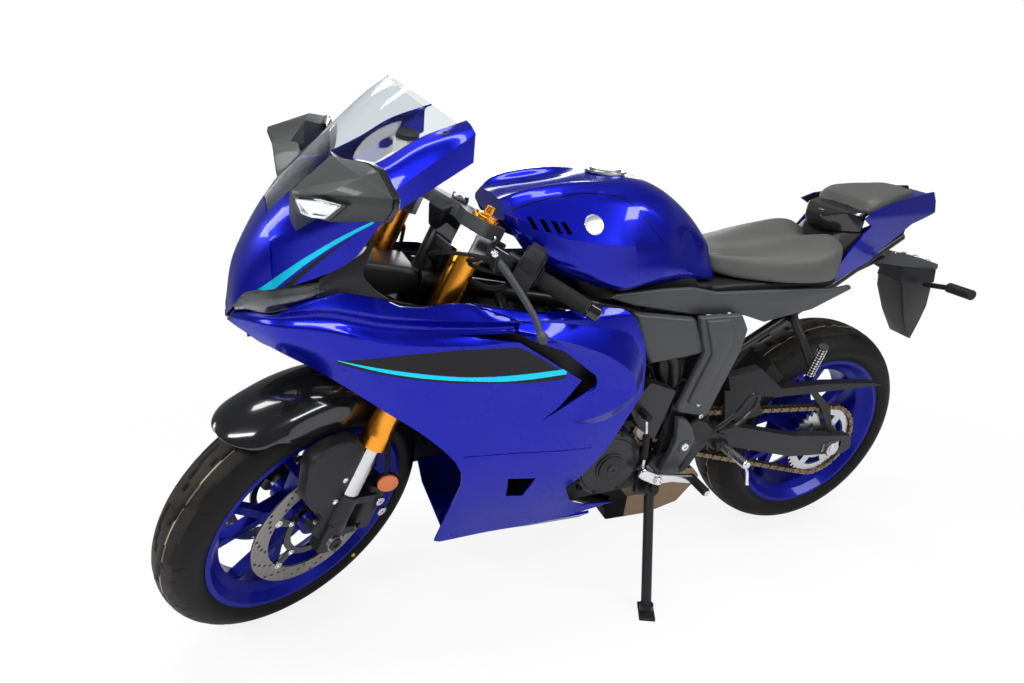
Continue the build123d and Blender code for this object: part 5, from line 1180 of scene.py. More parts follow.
front_hub = steered @ Matrix.Translation(Vector((front_axle_x, 0, front_axle_z)) * MM)
rear_hub = leaned @ Matrix.Translation(Vector((0, 0, rear_radius)))
tyre_rows = (  # end, hub, radius, half profile, groove patterns round it, place of the mould line
    ("front", front_hub, 300, [(0, 300), (18, 298), (36, 290), (50, 276), (58, 262), (60, 252), (57, 242),
                               (52, 235), (49, 231), (47, 226)], 14, 0.016),
    ("rear", rear_hub, 315, [(0, 315), (28, 312.5), (56, 302), (76, 286), (87, 270), (90, 259), (87, 247),
                             (80, 237), (77, 232), (74, 226)], 13, 0.024),
)
grooves = (((0.00, 6), (0.34, 15), 2.6, 4.5), ((0.34, 15), (0.70, 20), 3.0, 4.5),
           ((0.44, 33), (0.60, 37), 1.9, 3.0), ((0.60, 37), (0.86, 38), 1.9, 3.0),
           ((0.08, 38), (0.20, 44), 1.6, 2.5), ((0.40, 46), (0.46, 50), 1.4, 2.2))
lip_corners = ((0, 1.5), (1.5, 0), (0, -1.5), (-1.5, 0), (0, 1.5))
for end, home, radius, half, pitches, line_at in tyre_rows:
    wide = half[5][0] / 60.0
    ring = [(-y, r) for y, r in reversed(half[1:])] + half
    cuts = [((a0, y0 * wide), (a1, y1 * wide), h, d) for (a0, y0), (a1, y1), h, d in grooves]
    tyre = turned(f"{end}_tyre_carcass", ring + [(0, 224), ring[0]], 960, steps=3,
                  sharp=(0, len(ring) - 1, len(ring)), relief=tread(radius, pitches, cuts))
    tyre.data.transform(home)
    smooth(tyre, 40)
    fitted(tyre, tyre_rubber(f"{end}_tyre_rubber", line_at), f"{end}_wheel", f"{end}_tyre")
    bead_y, bead_radius = half[7][0] + 1.5, 237
    for side, hand in hands:
        lip_ring = [(side * (bead_y + out), bead_radius + up) for out, up in lip_corners]
        lip = turned(f"{end}_bead_line_{hand}", lip_ring, 180, steps=2)
        lip.data.transform(home)
        smooth(lip, 60)
        fitted(lip, rubber, f"{end}_wheel")

# ---- Brake discs ----
# Drilled stainless bands riveted to black carriers on each side of the front hub, and one band
# behind. The holes are drilled in slanting rows.
disc_steel = finish("brake_disc_steel", (0.30, 0.28, 0.255), 0.34, metallic=1.0, grain=900, depth=0.10,
                    mottle=0.12, wear=0.1)
drill_radius, band_thick = 3.5, 5


def drilled_band(name, outer, inner, thick, rows, per_row):
    """A flat ring about the Y axis with slanting rows of holes through it, in millimetres."""
    half, chamfer = thick / 2, 0.6
    ring = turned(name, [(-half, inner), (-half, outer - chamfer), (-half + chamfer, outer),
                         (half - chamfer, outer), (half, outer - chamfer), (half, inner), (-half, inner)],
                  160, steps=1)
    deselect()
    drills = []
    for row in range(rows):
        for k in range(per_row):
            angle = 2 * math.pi * (row + k * 0.22) / rows
            r = inner + (outer - inner) * (k + 0.7) / (per_row + 0.4)
            bpy.ops.mesh.primitive_cylinder_add(vertices=12, radius=drill_radius * MM, depth=4 * thick * MM,
                                                rotation=(math.pi / 2, 0, 0),
                                                location=(r * MM * math.cos(angle), 0,
                                                          r * MM * math.sin(angle)))
            drills.append(bpy.context.object)
    deselect()
    for drill in drills:
        drill.select_set(True)
    bpy.context.view_layer.objects.active = drills[0]
    bpy.ops.object.join()
    drill = bpy.context.object
    bpy.ops.object.transform_apply(location=True, rotation=True, scale=True)
    return cut(ring, drill)


def carrier(name, inner, outer, arms, thick):
    """A black disc carrier about the Y axis: a scalloped ring with lobes out to the rivets."""
    half, rim = thick / 2, inner + 15
    ring = turned(name, [(-half, inner), (-half, rim), (half, rim), (half, inner), (-half, inner)], 96,
                  steps=1)
    parts = [ring]
    for arm in range(arms):
        angle = 2 * math.pi * (arm + 0.5) / arms
        deselect()
        bpy.ops.mesh.primitive_cylinder_add(vertices=40, radius=13 * MM, depth=thick * 0.96 * MM,
                                            rotation=(math.pi / 2, 0, 0), location=((outer - 3) * MM, 0, 0))
        lobe = bpy.context.object
        deselect()
        bpy.ops.mesh.primitive_cube_add(size=1, location=((inner + outer) / 2 * MM + 2 * MM, 0, 0))
        limb = bpy.context.object
        limb.scale = ((outer - inner - 4) * MM, thick * MM * 0.9, 19 * MM)
        bpy.ops.object.transform_apply(location=True, rotation=True, scale=True)
        applied(limb, "BEVEL", width=1.5 * MM, segments=2)
        for part in (lobe, limb):
            deselect()
            part.select_set(True)
            bpy.context.view_layer.objects.active = part
            bpy.ops.object.transform_apply(location=True, rotation=True, scale=True)
            part.data.transform(Matrix.Rotation(-angle, 4, "Y"))
            parts.append(part)
    deselect()
    for part in parts:
        part.select_set(True)
    bpy.context.view_layer.objects.active = ring
    bpy.ops.object.join()
    return ring


disc_table = (  # name, body, home, y, outer, inner, carrier inner, rivets, node
    ("front_disc_left", "front_wheel", front_hub, 66, 149, 113, 62, 5, "front_discs"),
    ("front_disc_right", "front_wheel", front_hub, -66, 149, 113, 62, 5, "front_discs"),
    ("rear_disc", "rear_wheel", rear_hub, -96, 122.5, 88.5, 50, 5, "rear_disc"),
)
for name, body, home, y, outer, inner, hub_radius, rivets, node in disc_table:
    seat = home @ Matrix.Translation(Vector((0, y, 0)) * MM)
    plate = drilled_band(f"{name}_band", outer, inner, band_thick, 14, 4)
    plate.data.transform(seat)
    smooth(plate, 35)
    fitted(plate, disc_steel, body, node)
    spider = carrier(f"{name}_carrier", hub_radius, inner + 2, rivets, band_thick)
    spider.data.transform(seat)
    smooth(spider, 35)
    fitted(spider, gloss_black, body)
    for index in range(rivets):
        angle = 2 * math.pi * (index + 0.5) / rivets
        for ring_radius, size, label in ((inner - 1, 8.5, "rivet"), (hub_radius + 14, 7.0, "bolt")):
            spot = (ring_radius * math.cos(angle), math.copysign(3.6, y), ring_radius * math.sin(angle))
            stud = screw(f"{name}_{label}_{index}", spot, (0, math.copysign(1, y), 0), size, 4, seat, 0.45)
            fitted(stud, bright_zinc, body)

# ---- Side covers ----
# Injection-moulded covers in dark grey satin: the long panel under the seat, the airbox cheek below
# it, and the tall cover over the frame spar. Each is a bevelled shell clipped to grommets.
def panel(name, outline, low, high, soft, steps=1, sharp=()):
    """A left-hand moulding from its side outline in millimetres, with well-rounded edges."""
    piece = prism(name, outline, low, high, steps=steps, sharp=sharp, place=still)
    applied(piece, "BEVEL", width=soft * MM, segments=4, limit_method="ANGLE", angle_limit=math.radians(35))
    piece.data.transform(leaned)
    smooth(piece, 35)
    return piece


long_cover_outline = (
    (772, 788), (761, 797), (640, 803), (567, 803), (499, 789), (390, 788), (150, 784), (104, 790),
    (98, 780), (208, 732), (344, 708), (441, 739), (495, 735), (561, 740), (706, 768))
airbox_outline = ((716, 758), (554, 736), (507, 650), (560, 642), (652, 634), (676, 672))
spar_cover_outline = (
    (556, 744), (440, 745), (424, 722), (413, 706), (418, 651), (470, 481), (553, 504), (562, 517),
    (519, 655))
cover_grey = finish("moulded_cover_grey", (0.046, 0.047, 0.050), 0.40, grain=1000, depth=0.14, coat=0.1)
pair(panel("long_side_cover_left", long_cover_outline, 124, 136, 4.5), cover_grey, "chassis", "side_covers")
pair(panel("airbox_cheek_left", airbox_outline, 128, 154, 9), cover_grey, "chassis")
pair(panel("spar_cover_left", spar_cover_outline, 146, 164, 7), cover_grey, "chassis", "frame_covers")
spar_rib_outline = ((540, 738), (476, 739), (452, 700), (458, 652), (500, 522), (540, 530), (503, 655))
pair(panel("spar_cover_rib_left", spar_rib_outline, 160, 171, 6), cover_grey, "chassis")
# painted shade: a black sheet behind the covers stands for the shade in the gaps round them
shade_fill_outline = ((610, 650), (500, 715), (460, 640), (480, 520), (560, 530), (600, 590))
pair(panel("frame_fill_left", shade_fill_outline, 70, 118, 6), satin_black, "chassis")


def side_screws(label, spot, radius, height, material, socket=0.55):
    """A screw that faces outwards on each side of the chassis."""
    x, y, z = spot
    for side, hand in hands:
        fitted(screw(f"{label}_{hand}", (x, side * y, z), (0, side, 0), radius, height, socket=socket),
               material, "chassis")


side_screws("spar_cover_screw_0", (505, 164.5, 523), 6.5, 4, steel)
side_screws("spar_cover_screw_1", (490, 164.5, 488), 6.5, 4, steel)
side_screws("fairing_screw", (721, 194, 681), 7, 6, bright_zinc)
pivot_plate_outline = (
    (556, 492), (530, 486), (493, 445), (479, 417), (496, 380), (520, 330), (537, 322), (574, 346),
    (556, 392), (546, 430))
pair(panel("pivot_plate_left", pivot_plate_outline, 150, 168, 4), cover_grey, "chassis")
pivot_x, pivot_z = 520, 410
for side, hand in hands:
    cup = screw(f"pivot_cup_{hand}", (pivot_x, side * 168, pivot_z), (0, side, 0), 17, 4, socket=0)
    fitted(cup, gloss_black, "chassis")
    nut = screw(f"pivot_nut_{hand}", (pivot_x, side * 170, pivot_z), (0, side, 0), 10, 5, socket=0.5)
    fitted(nut, bright_zinc, "chassis")

# ---- Generator and clutch covers ----
# Round die-cast covers on each side of the crankcase, stepped, with a threaded plug in the middle
# and a ring of small flange bolts.
crank_x, crank_z, flange_bolts, bolt_circle = 722, 390, 8, 79
dome_profile = (
    (140, 84), (158, 84), (164, 80), (165, 68), (168, 65), (172, 50), (173, 34), (171.5, 32),
    (171.5, 29), (174, 28), (174.5, 10), (172, 8), (172, 0.4))
for side, hand in hands:
    dome = turned(f"crankcase_dome_{hand}", dome_profile, 120, steps=2,
                  sharp=tuple(range(len(dome_profile))))
    if side < 0:
        dome.data.transform(Matrix.Scale(-1, 4, (0, 1, 0)))
        dome.data.flip_normals()
    dome.data.transform(leaned @ Matrix.Translation(Vector((crank_x, 0, crank_z)) * MM))
    smooth(dome, 25)
    fitted(dome, cover_paint, "chassis")
    for index in range(flange_bolts):
        angle = 2 * math.pi * (index + 0.4) / flange_bolts
        spot = (crank_x + bolt_circle * math.cos(angle), side * 165, crank_z + bolt_circle * math.sin(angle))
        fitted(screw(f"crankcase_bolt_{hand}_{index}", spot, (0, side, 0), 4.5, 5), black_cast, "chassis")

# ---- Airbox, undertray and wiring ----
# Raw black mouldings fill the middle of the machine: the airbox over the engine, throttle bodies,
# the battery tray under the saddle, and looms and hoses that cross the gaps between the covers.
def tube(name, spots, radius, steps=6, place=None, sides=12):
    """A round bar or hose through places in millimetres, its radius one number or one per place."""
    line = [Vector(spot) * MM for spot in spots]
    radii = [radius] * len(spots) if isinstance(radius, (int, float)) else list(radius)
    if len(spots) > 2 and steps > 1:
        line = eased(line, steps)
        spread, last = [], len(spots) - 1
        for i in range(len(line)):
            here, there = radii[min(i // steps, last)], radii[min(i // steps + 1, last)]
            spread.append(here + (there - here) * (i % steps) / steps)
        radii = spread
    course = bpy.data.curves.new(name, "CURVE")
    course.dimensions = "3D"
    course.bevel_depth = MM
    course.bevel_resolution = max(1, sides // 4 - 1)
    course.use_fill_caps = True
    spline = course.splines.new("POLY")
    spline.points.add(len(line) - 1)
    for point, spot, size in zip(spline.points, line, radii):
        point.co, point.radius = (*spot, 1), size
    holder = bpy.data.objects.new(name, course)
    bpy.context.scene.collection.objects.link(holder)
    deselect()
    holder.select_set(True)
    bpy.context.view_layer.objects.active = holder
    bpy.ops.object.convert(target="MESH")
    piece = bpy.context.object
    piece.data.transform(place or leaned)
    return smooth(piece, 40)


def block(name, outline, half, soft, material, *nodes):
    """A moulding from its side outline, as wide on the left as on the right."""
    piece = prism(name, outline, -half, half, place=still)
    applied(piece, "BEVEL", width=soft * MM, segments=3, limit_method="ANGLE", angle_limit=math.radians(30))
    piece.data.transform(leaned)
    smooth(piece, 35)
    return fitted(piece, material, "chassis", *nodes)


block("airbox_body", ((446, 792), (500, 690), (540, 655), (640, 640), (706, 668), (790, 730), (850, 822),
                      (850, 850), (560, 842), (530, 800)), 104, 10, satin_black)
block("battery_tray", ((440, 800), (500, 796), (500, 770), (420, 722), (340, 712), (230, 738), (140, 782),
                       (130, 800)), 116, 8, satin_black)
for index, y in enumerate((-42, 42)):
    fitted(tube(f"throttle_body_{index}", [(640, y, 650), (672, y, 610), (700, y, 575)], [31, 27, 30]),
           black_cast, "chassis")
loom_runs = (
    ((690, 96, 668), (640, 108, 648), (590, 112, 620), (560, 104, 570), (566, 96, 520)),
    ((700, 88, 650), (652, 106, 626), (612, 108, 590), (598, 100, 548), (610, 92, 505)),
    ((560, 118, 660), (540, 122, 610), (536, 118, 566), (548, 108, 520)),
    ((720, 100, 640), (676, 112, 604), (668, 112, 566), (680, 104, 530)),
)
for index, run in enumerate(loom_runs):
    pair(tube(f"loom_{index}_left", run, 4.5 if index else 6.5), rubber, "chassis")

# ---- Drive chain ----
# A sealed roller chain: outer and inner side plates by turns on their pins, dark bronze all over.
# It is held by the teeth of both sprockets, and drawn in that one place.
chain_steel = finish("bronze_chain_steel", (0.20, 0.155, 0.095), 0.36, metallic=1.0, grain=600, depth=0.1,
                     mottle=0.3, edge=0.0004)
chain_y, chain_links, tooth_pitch, rear_teeth, front_teeth = 106.0, 106, 15.875, 42, 16
rear_pitch = tooth_pitch / (2 * math.sin(math.pi / rear_teeth))
front_pitch = tooth_pitch / (2 * math.sin(math.pi / front_teeth))
rear_center, front_center = Vector((0.0, 315.0)), Vector((590.0, 432.0))


def chain_spot(share):
    """The place of the chain's middle line, in the side view, at a share of the way round."""
    span = front_center - rear_center
    rise = math.atan2(span.y, span.x)
    lean = math.acos((rear_pitch - front_pitch) / span.length)
    run = math.sqrt(span.length ** 2 - (rear_pitch - front_pitch) ** 2)
    front_arc, rear_arc = 2 * lean * front_pitch, (2 * math.pi - 2 * lean) * rear_pitch
    way = (share % 1.0) * (2 * run + front_arc + rear_arc)

    def around(center, radius, angle):
        return center + Vector((math.cos(angle), math.sin(angle))) * radius

    if way < run:
        start = around(rear_center, rear_pitch, rise + lean)
        return start.lerp(around(front_center, front_pitch, rise + lean), way / run)
    way -= run
    if way < front_arc:
        return around(front_center, front_pitch, rise + lean - way / front_pitch)
    way -= front_arc
    if way < run:
        start = around(front_center, front_pitch, rise - lean)
        return start.lerp(around(rear_center, rear_pitch, rise - lean), way / run)
    return around(rear_center, rear_pitch, rise - lean - (way - run) / rear_pitch)


def repeated(name, piece, places):
    """Copies of the piece at each place, joined into one."""
    copies = []
    for place in places:
        twin = piece.copy()
        twin.data = piece.data.copy()
        twin.data.transform(place)
        bpy.context.scene.collection.objects.link(twin)
        copies.append(twin)
    bpy.data.objects.remove(piece)
    deselect()
    for twin in copies:
        twin.select_set(True)
    bpy.context.view_layer.objects.active = copies[0]
    bpy.ops.object.join()
    joined = bpy.context.object
    joined.name = joined.data.name = name
    return joined


link_outline = [(6.6 * math.cos(math.radians(a)), 6.6 * math.sin(math.radians(a)))
                for a in range(60, 301, 40)]
far_end = [(tooth_pitch - x, z) for x, z in reversed(link_outline)]
link_outline = link_outline + [(tooth_pitch / 2, -4.6)] + far_end + [(tooth_pitch / 2, 4.6)]
joints = []
for index in range(chain_links):
    here, there = chain_spot(index / chain_links), chain_spot((index + 1) / chain_links)
    turn = math.atan2(there.y - here.y, there.x - here.x)
    spot = Vector((here.x, chain_y, here.y)) * MM
    joints.append(Matrix.Translation(spot) @ Matrix.Rotation(-turn, 4, "Y"))
for label, first, inner, outer in (("inner", 0, 5.0, 7.2), ("outer", 1, 7.6, 9.8)):
    for side, hand in hands:
        plate = prism("chain_plate", link_outline, side * inner, side * outer, place=still)
        plates = repeated(f"chain_{label}_plates_{hand}", plate, joints[first::2])
        plates.data.transform(leaned)
        smooth(plates, 40)
        fitted(plates, chain_steel, "chassis", "drive_chain")
for label, radius, reach in (("roller", 5.1, 4.9), ("pin", 2.7, 11.2)):
    pin = tube("chain_pin", [(0, -reach, 0), (0, reach, 0)], radius, place=still, sides=8)
    pins = repeated(f"chain_{label}s", pin, joints)
    pins.data.transform(leaned)
    fitted(pins, chain_steel, "chassis")

# ---- Small fasteners and marks ----
# The screwed cap and the case bolts round the generator, the screws of the nose wings, and the dot
# of yellow paint that marks the light side of the front tyre.
cap_x, cap_z, case_circle = 722, 388, 85
fitted(screw("generator_cap", (cap_x, 179, cap_z), (0, 1, 0), 33, 7, socket=0), black_cast, "chassis")
fitted(screw("generator_cap_hex", (cap_x, 183, cap_z), (0, 1, 0), 12, 5), cover_paint, "chassis")
for index, degrees in enumerate((25, 80, 135, 190, 250, 310)):
    angle = math.radians(degrees)
    spot = (cap_x + case_circle * math.cos(angle), 146, cap_z + case_circle * math.sin(angle))
    fitted(screw(f"generator_bolt_{index}", spot, (0, 1, 0), 8, 14), black_cast, "chassis")
yellow_dot = finish("yellow_paint_dot", (0.78, 0.56, 0.01), 0.5, depth=0.0)
fitted(screw("tyre_dot", (1276, 57, 88), (0.2, 0.95, 0.12), 5, 3, steered, 0), yellow_dot, "front_wheel")
pair(screw("wing_screw_left", (1141, 133, 1100), (0.36, 0.35, 0.86), 6, 4), black_cast, "chassis")

# ---- Foot controls ----
# Black hangers with heel guards, knurled alloy pegs with feelers, and on the left the polished gear
# lever with its rubber toe and the booted rod up to the gearbox.
hanger_outline = (
    (516, 470), (498, 482), (470, 470), (438, 440), (402, 424), (388, 402), (400, 384), (428, 386),
    (456, 404), (474, 380), (496, 340), (516, 330), (526, 350), (504, 392), (494, 424))
pair(panel("footrest_hanger_left", hanger_outline, 158, 168, 2.5), black_cast, "chassis", "footrests")
pair(tube("heel_guard_left", [(452, 165, 433), (420, 168, 458), (390, 170, 484), (366, 172, 524),
                              (352, 172, 537), (337, 172, 530), (338, 172, 506), (362, 171, 470),
                              (384, 168, 446), (424, 164, 436)], 5.0), black_powder, "chassis")


def ridges(start, end, count):
    """Places evenly along a line, one for each ridge or hollow of a knurled peg."""
    return [tuple(Vector(start).lerp(Vector(end), k / (count - 1))) for k in range(count)]


rider_radii = [8.0] + [12.3 if k % 2 else 10.9 for k in range(25)] + [8.5]
peg_spots = ridges((415, 170, 404), (404, 262, 399), 27)
pair(tube("rider_peg_left", peg_spots, rider_radii, steps=1), bright_zinc, "chassis")
pair(tube("peg_feeler_left", [(405, 254, 399), (402, 262, 384), (398, 267, 356), (397, 268, 350)],
          [4.2, 4.0, 4.0, 5.0]), bright_zinc, "chassis")
pair(faceted("peg_clevis_left", ((436, 160, 416), (436, 182, 414), (396, 160, 414), (398, 184, 412),
                                 (398, 184, 392), (396, 160, 388), (430, 160, 390), (430, 182, 392)), 3),
     black_cast, "chassis")
lever_outline = (
    (654, 380), (642, 386), (606, 366), (560, 356), (506, 346), (494, 340), (492, 326), (504, 322),
    (560, 336), (612, 338), (648, 358), (658, 368))
fitted(panel("gear_lever_arm", lever_outline, 190, 201, 3.5), bright_zinc, "chassis", "gear_lever")
toe_spots = [(498, 188 + 4 * k, 333) for k in range(17)]
fitted(tube("gear_toe_rubber", toe_spots, [11.5 if k % 2 else 10.2 for k in range(17)], steps=1), rubber,
       "chassis")
fitted(tube("gear_toe_cap", [(498, 250, 333), (498, 257, 333)], 7.5), bright_zinc, "chassis")
fitted(tube("gear_pivot", [(604, 156, 351), (604, 206, 351)], 11.5), bright_zinc, "chassis")
fitted(screw("gear_pivot_bolt", (604, 207, 351), (0, 1, 0), 9, 6), bright_zinc, "chassis")
fitted(tube("gear_rod", [(640, 184, 366), (642, 184, 420), (648, 182, 470), (655, 178, 520)], 3.6),
       bright_zinc, "chassis")
fitted(tube("gear_rod_boot", [(641, 184, 404), (642, 184, 412), (644, 183, 440), (647, 182, 466),
                              (648, 182, 474)], [4, 8.5, 7.4, 8.5, 4]), rubber, "chassis")
fitted(tube("gear_rod_joint", [(641, 176, 374), (641, 200, 374)], 8), bright_zinc, "chassis")
fitted(tube("gear_shaft_boot", [(655, 160, 518), (655, 190, 518)], [10, 9]), rubber, "chassis")
passenger_radii = [11.9 if k % 2 else 10.9 for k in range(22)] + [8.5]
peg_spots = ridges((196, 176, 578), (224, 214, 672), 23)
pair(tube("passenger_peg_left", peg_spots, passenger_radii, steps=1), bright_zinc, "chassis")

# ---- Plate holder and seat lock ----
# A pressed arm under the tail carries the black holder, bare of any plate, with a red reflector.
# Screws hold the arm to the undertray. The barrel of the seat lock is set in the tail cover.
block("undertray", ((440, 708), (300, 730), (60, 778), (-80, 834), (-80, 828), (60, 772), (300, 724),
                    (440, 702)), 60, 1, satin_black, "rear_fender")
arm_piece = faceted("plate_arm", both_hands(((-50, 26, 832), (-60, 28, 814), (-142, 30, 832),
                                             (-150, 30, 812), (-326, 36, 798), (-334, 34, 786),
                                             (-320, 36, 778), (-200, 30, 790))), 2)
fitted(arm_piece, grey_satin, "chassis")
hung = faceted("plate_holder", both_hands(((-200, 40, 752), (-216, 44, 714), (-262, 38, 640),
                                           (-314, 30, 574), (-334, 30, 566), (-337, 36, 626),
                                           (-334, 42, 676), (-318, 44, 752))), 4)
fitted(hung, satin_black, "chassis")
neck = faceted("plate_holder_neck", both_hands(((-190, 34, 792), (-196, 40, 748), (-316, 44, 784),
                                                (-320, 48, 748))), 3)
fitted(neck, satin_black, "chassis")
glow = faceted("rear_reflector", both_hands(((-336, 26, 672), (-339, 26, 672), (-336, 26, 648),
                                             (-339, 26, 648))), 0.6)
fitted(glow, red_lens, "chassis")
for index, (x, z) in enumerate(((-110, 833), (-160, 829), (-250, 814), (-300, 804))):
    for side, hand in hands:
        fitted(screw(f"plate_arm_screw_{index}_{hand}", (x, side * 20, z + 1), (0, 0, 1), 6, 4), bright_zinc,
               "chassis")
fitted(screw("seat_lock_barrel", (114, 0, 943), (0.3, 0.0, 0.95), 14, 7, socket=0.4), bright_zinc, "chassis")

# ---- Cockpit: stay, dash, yoke hardware and bars ----
# A black stay carries the nose and the dash. On the yokes sit the stem nut and the clamp bolts, and
# each bar has a switch box, a perch with its lever, a ribbed grip and a gloss end weight.
pair(tube("cowl_stay_left", [(1150, 14, 812), (1218, 20, 826), (1266, 48, 840), (1312, 92, 854),
                             (1345, 118, 868), (1352, 132, 878)], [13, 12, 11, 10, 9, 8]), black_powder,
     "chassis", "cowl_stay")
fitted(tube("cowl_stay_cross", [(1345, -128, 868), (1352, 0, 872), (1345, 128, 868)], 8), black_powder,
       "chassis")
block("air_intake_duct", ((1150, 800), (1160, 838), (1250, 852), (1330, 850), (1360, 800), (1340, 770),
                          (1250, 776)), 62, 12, satin_black)
pair(faceted("inner_fairing_left", ((1340, 84, 800), (1340, 122, 812), (1272, 106, 810), (1240, 154, 818),
                                    (1158, 160, 800), (1150, 180, 800), (1158, 160, 790), (1150, 180, 786),
                                    (1340, 120, 800), (1240, 152, 806)), 3), satin_black, "chassis")
dash = faceted("dash_housing", both_hands(((1236, 70, 978), (1230, 76, 984), (1236, 78, 992),
                                           (1296, 82, 1024), (1304, 74, 1032), (1310, 66, 1016),
                                           (1244, 64, 970))), 4)
fitted(dash, satin_black, "chassis", "instrument_panel")
dash_glass = finish("dash_glass", (0.010, 0.011, 0.013), 0.06, coat=1.0, depth=0.0, mottle=0.1)
face = faceted("dash_glass_face", both_hands(((1238, 62, 994.5), (1296, 66, 1026.5), (1236, 62, 991),
                                              (1294, 66, 1023))), 0.6)
fitted(face, dash_glass, "chassis")
fitted(tube("dash_stay", [(1300, 0, 1010), (1330, 0, 960), (1350, 0, 884)], 9), black_powder, "chassis")

bar_start, bar_end = Vector((1100, 132, 924)), Vector((997, 321, 862))
bar_way = (bar_end - bar_start).normalized()
bar_up = (Vector((0, 0, 1)) - bar_way * bar_way.z).normalized()
bar_fore = bar_way.cross(bar_up)
if bar_fore.x < 0:
    bar_fore = -bar_fore


def at_bar(reach, fore=0.0, high=0.0):
    """A place on the left bar: how far along it, ahead of it and above it, in millimetres."""
    return tuple(bar_start + bar_way * reach + bar_fore * fore + bar_up * high)


def steered_pair(piece, material, *nodes):
    """The left piece of the handlebars and its mirror image on the right."""
    twin = mirror_image(piece, piece.name.replace("_left", "_right"), steered)
    for side in (piece, twin):
        fitted(side, material, "steering", *nodes)


def boxed(name, ring, reaches, soft, material, *nodes):
    """A moulding on the bar: its section, ahead and above, drawn between two places along the bar."""
    corners = [at_bar(reach, fore, high) for fore, high in ring for reach in reaches]
    steered_pair(faceted(f"{name}_left", corners, soft, steered), material, *nodes)


def sleeved(name, reaches, radius, material, *nodes):
    """A round piece on the bar, through places along it, its radius one number or one per place."""
    piece = tube(f"{name}_left", [at_bar(reach) for reach in reaches], radius, steps=1, place=steered,
                 sides=24)
    steered_pair(piece, material, *nodes)


box_ring = ((-28, -26), (-18, -38), (18, -38), (30, -24), (31, 18), (20, 42), (-10, 44), (-28, 28))
crown_ring = ((-14, 34), (-8, 56), (20, 56), (34, 38), (34, 14))
boxed("switch_box", box_ring, (56, 99), 3, satin_black, "controls")
boxed("switch_crown", crown_ring, (60, 92), 3, matt_black)
boxed("switch_rocker", ((-37, 18), (-26, 20), (-26, 0), (-35, 0)), (66, 90), 2, gloss_black)
boxed("switch_slider", ((-34, -8), (-26, -8), (-26, -24), (-32, -22)), (70, 86), 1.5, grey_satin)
sleeved("bar_clamp", (34, 58), 18, satin_black)
sleeved("bar_sleeve", (-4, 62), 11.6, gloss_black)
steered_pair(faceted("lever_perch_left", [at_bar(36, 12, 14), at_bar(58, 12, 14), at_bar(36, 12, -12),
                                          at_bar(58, 12, -12), (1148, 176, 956), (1160, 196, 948),
                                          (1150, 178, 926), (1160, 198, 922), (1136, 150, 948),
                                          (1136, 152, 924)], 3, steered), matt_black)
blade_run = (
    (1144, 182, 938), (1144, 200, 933), (1136, 232, 910), (1130, 262, 887), (1128, 290, 866),
    (1131, 308, 850))
blade_radii = (9, 7.5, 6.8, 6.4, 6.0, 5.4)
steered_pair(tube("lever_blade_left", blade_run, blade_radii, steps=5, place=steered), grey_satin)
ball_run = ((1131, 303, 853), (1131, 308, 850), (1132, 314, 846), (1133, 320, 841), (1134, 324, 838))
ball_radii = (4.5, 8.5, 10.5, 8.5, 3.5)
steered_pair(tube("lever_ball_left", ball_run, ball_radii, steps=3, place=steered), grey_satin)
steered_pair(screw("lever_pivot_left", (1154, 187, 953), tuple(bar_up), 8, 8, steered), bright_zinc)
grip_radii = [22] + [17.4 if k % 2 else 16.2 for k in range(47)] + [17]
sleeved("grip", [103 + 2.25 * k for k in range(49)], grip_radii, rubber, "grips")
sleeved("grip_flange", (100, 101, 104, 106), (18, 22.5, 22.5, 18), rubber)
sleeved("bar_weight", (212, 214, 235, 238), (13, 15.6, 16.2, 13), gloss_black)
cup_plastic = finish("milky_cup_plastic", (0.42, 0.43, 0.40), 0.22, coat=0.4, depth=0.03)
cup_x, cup_y = 1096, -143
for name, heights, radii, material in (("fluid_cup", (999, 1003, 1033), (20, 23, 24), cup_plastic),
                                       ("fluid_cup_cap", (1033, 1035, 1043, 1045), (24, 26, 26, 23),
                                        matt_black)):
    piece = tube(name, [(cup_x, cup_y, z) for z in heights], radii, steps=1, place=steered, sides=24)
    fitted(piece, material, "steering")
fitted(tube("fluid_hose", [(1098, -143, 1004), (1100, -146, 990), (1116, -156, 968), (1138, -168, 950)], 5,
            place=steered), rubber, "steering")
fitted(screw("stem_nut", (1065, 0, 964), tuple(steering_line), 17, 12, steered, 0.6), bright_zinc,
       "steering")
for side, hand in hands:
    for index, (x, y, z) in enumerate(((1119, 94, 972), (1106, 138, 948))):
        fitted(screw(f"yoke_bolt_{index}_{hand}", (x, side * y, z), (0.92, 0, 0.39), 6.5, 8, steered),
               bright_zinc, "steering")

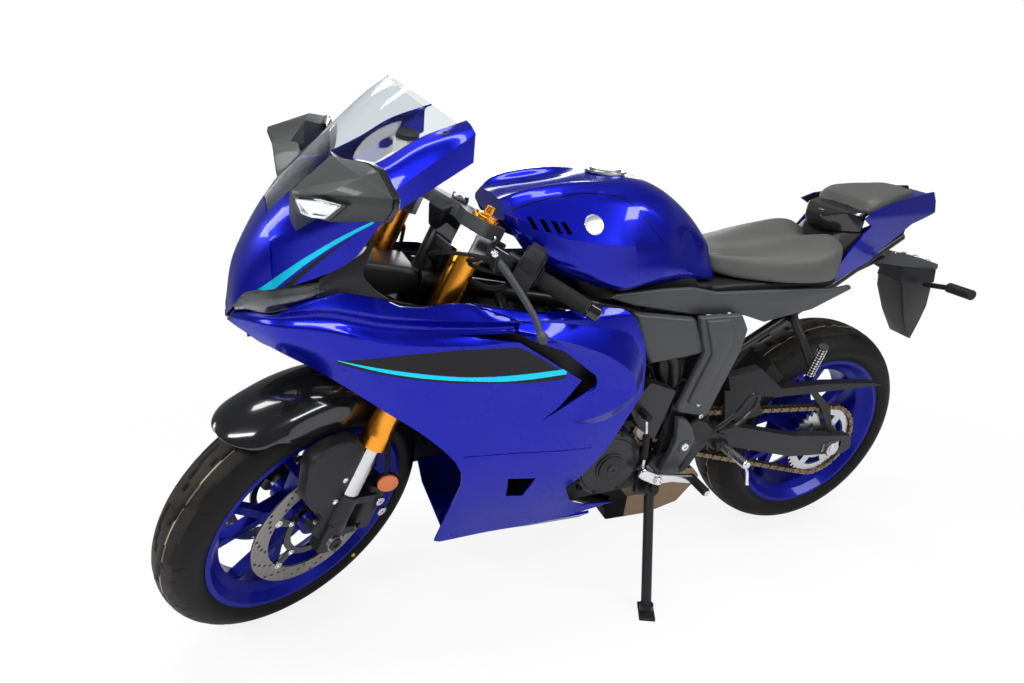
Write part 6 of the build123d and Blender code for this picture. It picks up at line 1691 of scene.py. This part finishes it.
# ---- Hoses and looms on the steering ----
# Brake hoses follow each fork leg to its caliper, held by the guards; the clutch cable and the looms
# from the switches loop ahead of the yokes. All are held at both ends.
brake_runs = (
    ("brake_hose", ((1120, 88, 868), (1128, 84, 830), (1170, 84, 730), (1222, 90, 612), (1256, 104, 500),
                    (1262, 114, 420), (1262, 118, 366))),
    ("brake_hose_lead", ((1146, 160, 930), (1152, 138, 914), (1140, 108, 896), (1120, 88, 868))),
)
for side, hand in hands:
    for label, run in brake_runs:
        hose = tube(f"{label}_{hand}", [(x, side * y, z) for x, y, z in run], 4.2, place=steered)
        fitted(hose, rubber, "steering")
cable_runs = (  # name, course, radius
    ("clutch_cable", ((1160, 182, 942), (1196, 160, 948), (1214, 118, 934), (1196, 74, 905), (1160, 44, 872),
                      (1132, 30, 840)), 4.0),
    ("switch_loom_left", (at_bar(74, 8, -30), (1120, 168, 862), (1134, 140, 862), (1140, 110, 868),
                          (1142, 72, 872)), 5.0),
    ("switch_loom_upper", (at_bar(66, 20, -10), (1132, 158, 898), (1146, 128, 900), (1146, 92, 902),
                           (1140, 60, 906)), 4.0),
)
for name, run, radius in cable_runs:
    fitted(tube(name, run, radius, place=steered), rubber, "steering")
steered_blocks = (  # name, corners, rounding, finish
    ("loom_connector", ((1122, 30, 935), (1122, 92, 930), (1150, 30, 925), (1150, 90, 920), (1146, 32, 892),
                        (1146, 88, 888), (1120, 32, 898), (1120, 88, 894)), 3, matt_black),
    ("loom_connector_face", ((1148, 38, 920), (1148, 82, 916), (1153, 38, 918), (1153, 82, 914),
                             (1151, 38, 898), (1151, 80, 894)), 1.5, grey_satin),
    ("ignition_lock", ((1100, 26, 966), (1100, -26, 966), (1130, 20, 956), (1130, -20, 956), (1122, 20, 905),
                       (1122, -20, 905), (1092, 24, 915), (1092, -24, 915)), 5, matt_black),
)
for name, corners, soft, material in steered_blocks:
    fitted(faceted(name, corners, soft, steered), material, "steering")

# ---- Size of the visual model ----
# The box round the visual model is reckoned, its lowest and highest corners.
low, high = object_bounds()
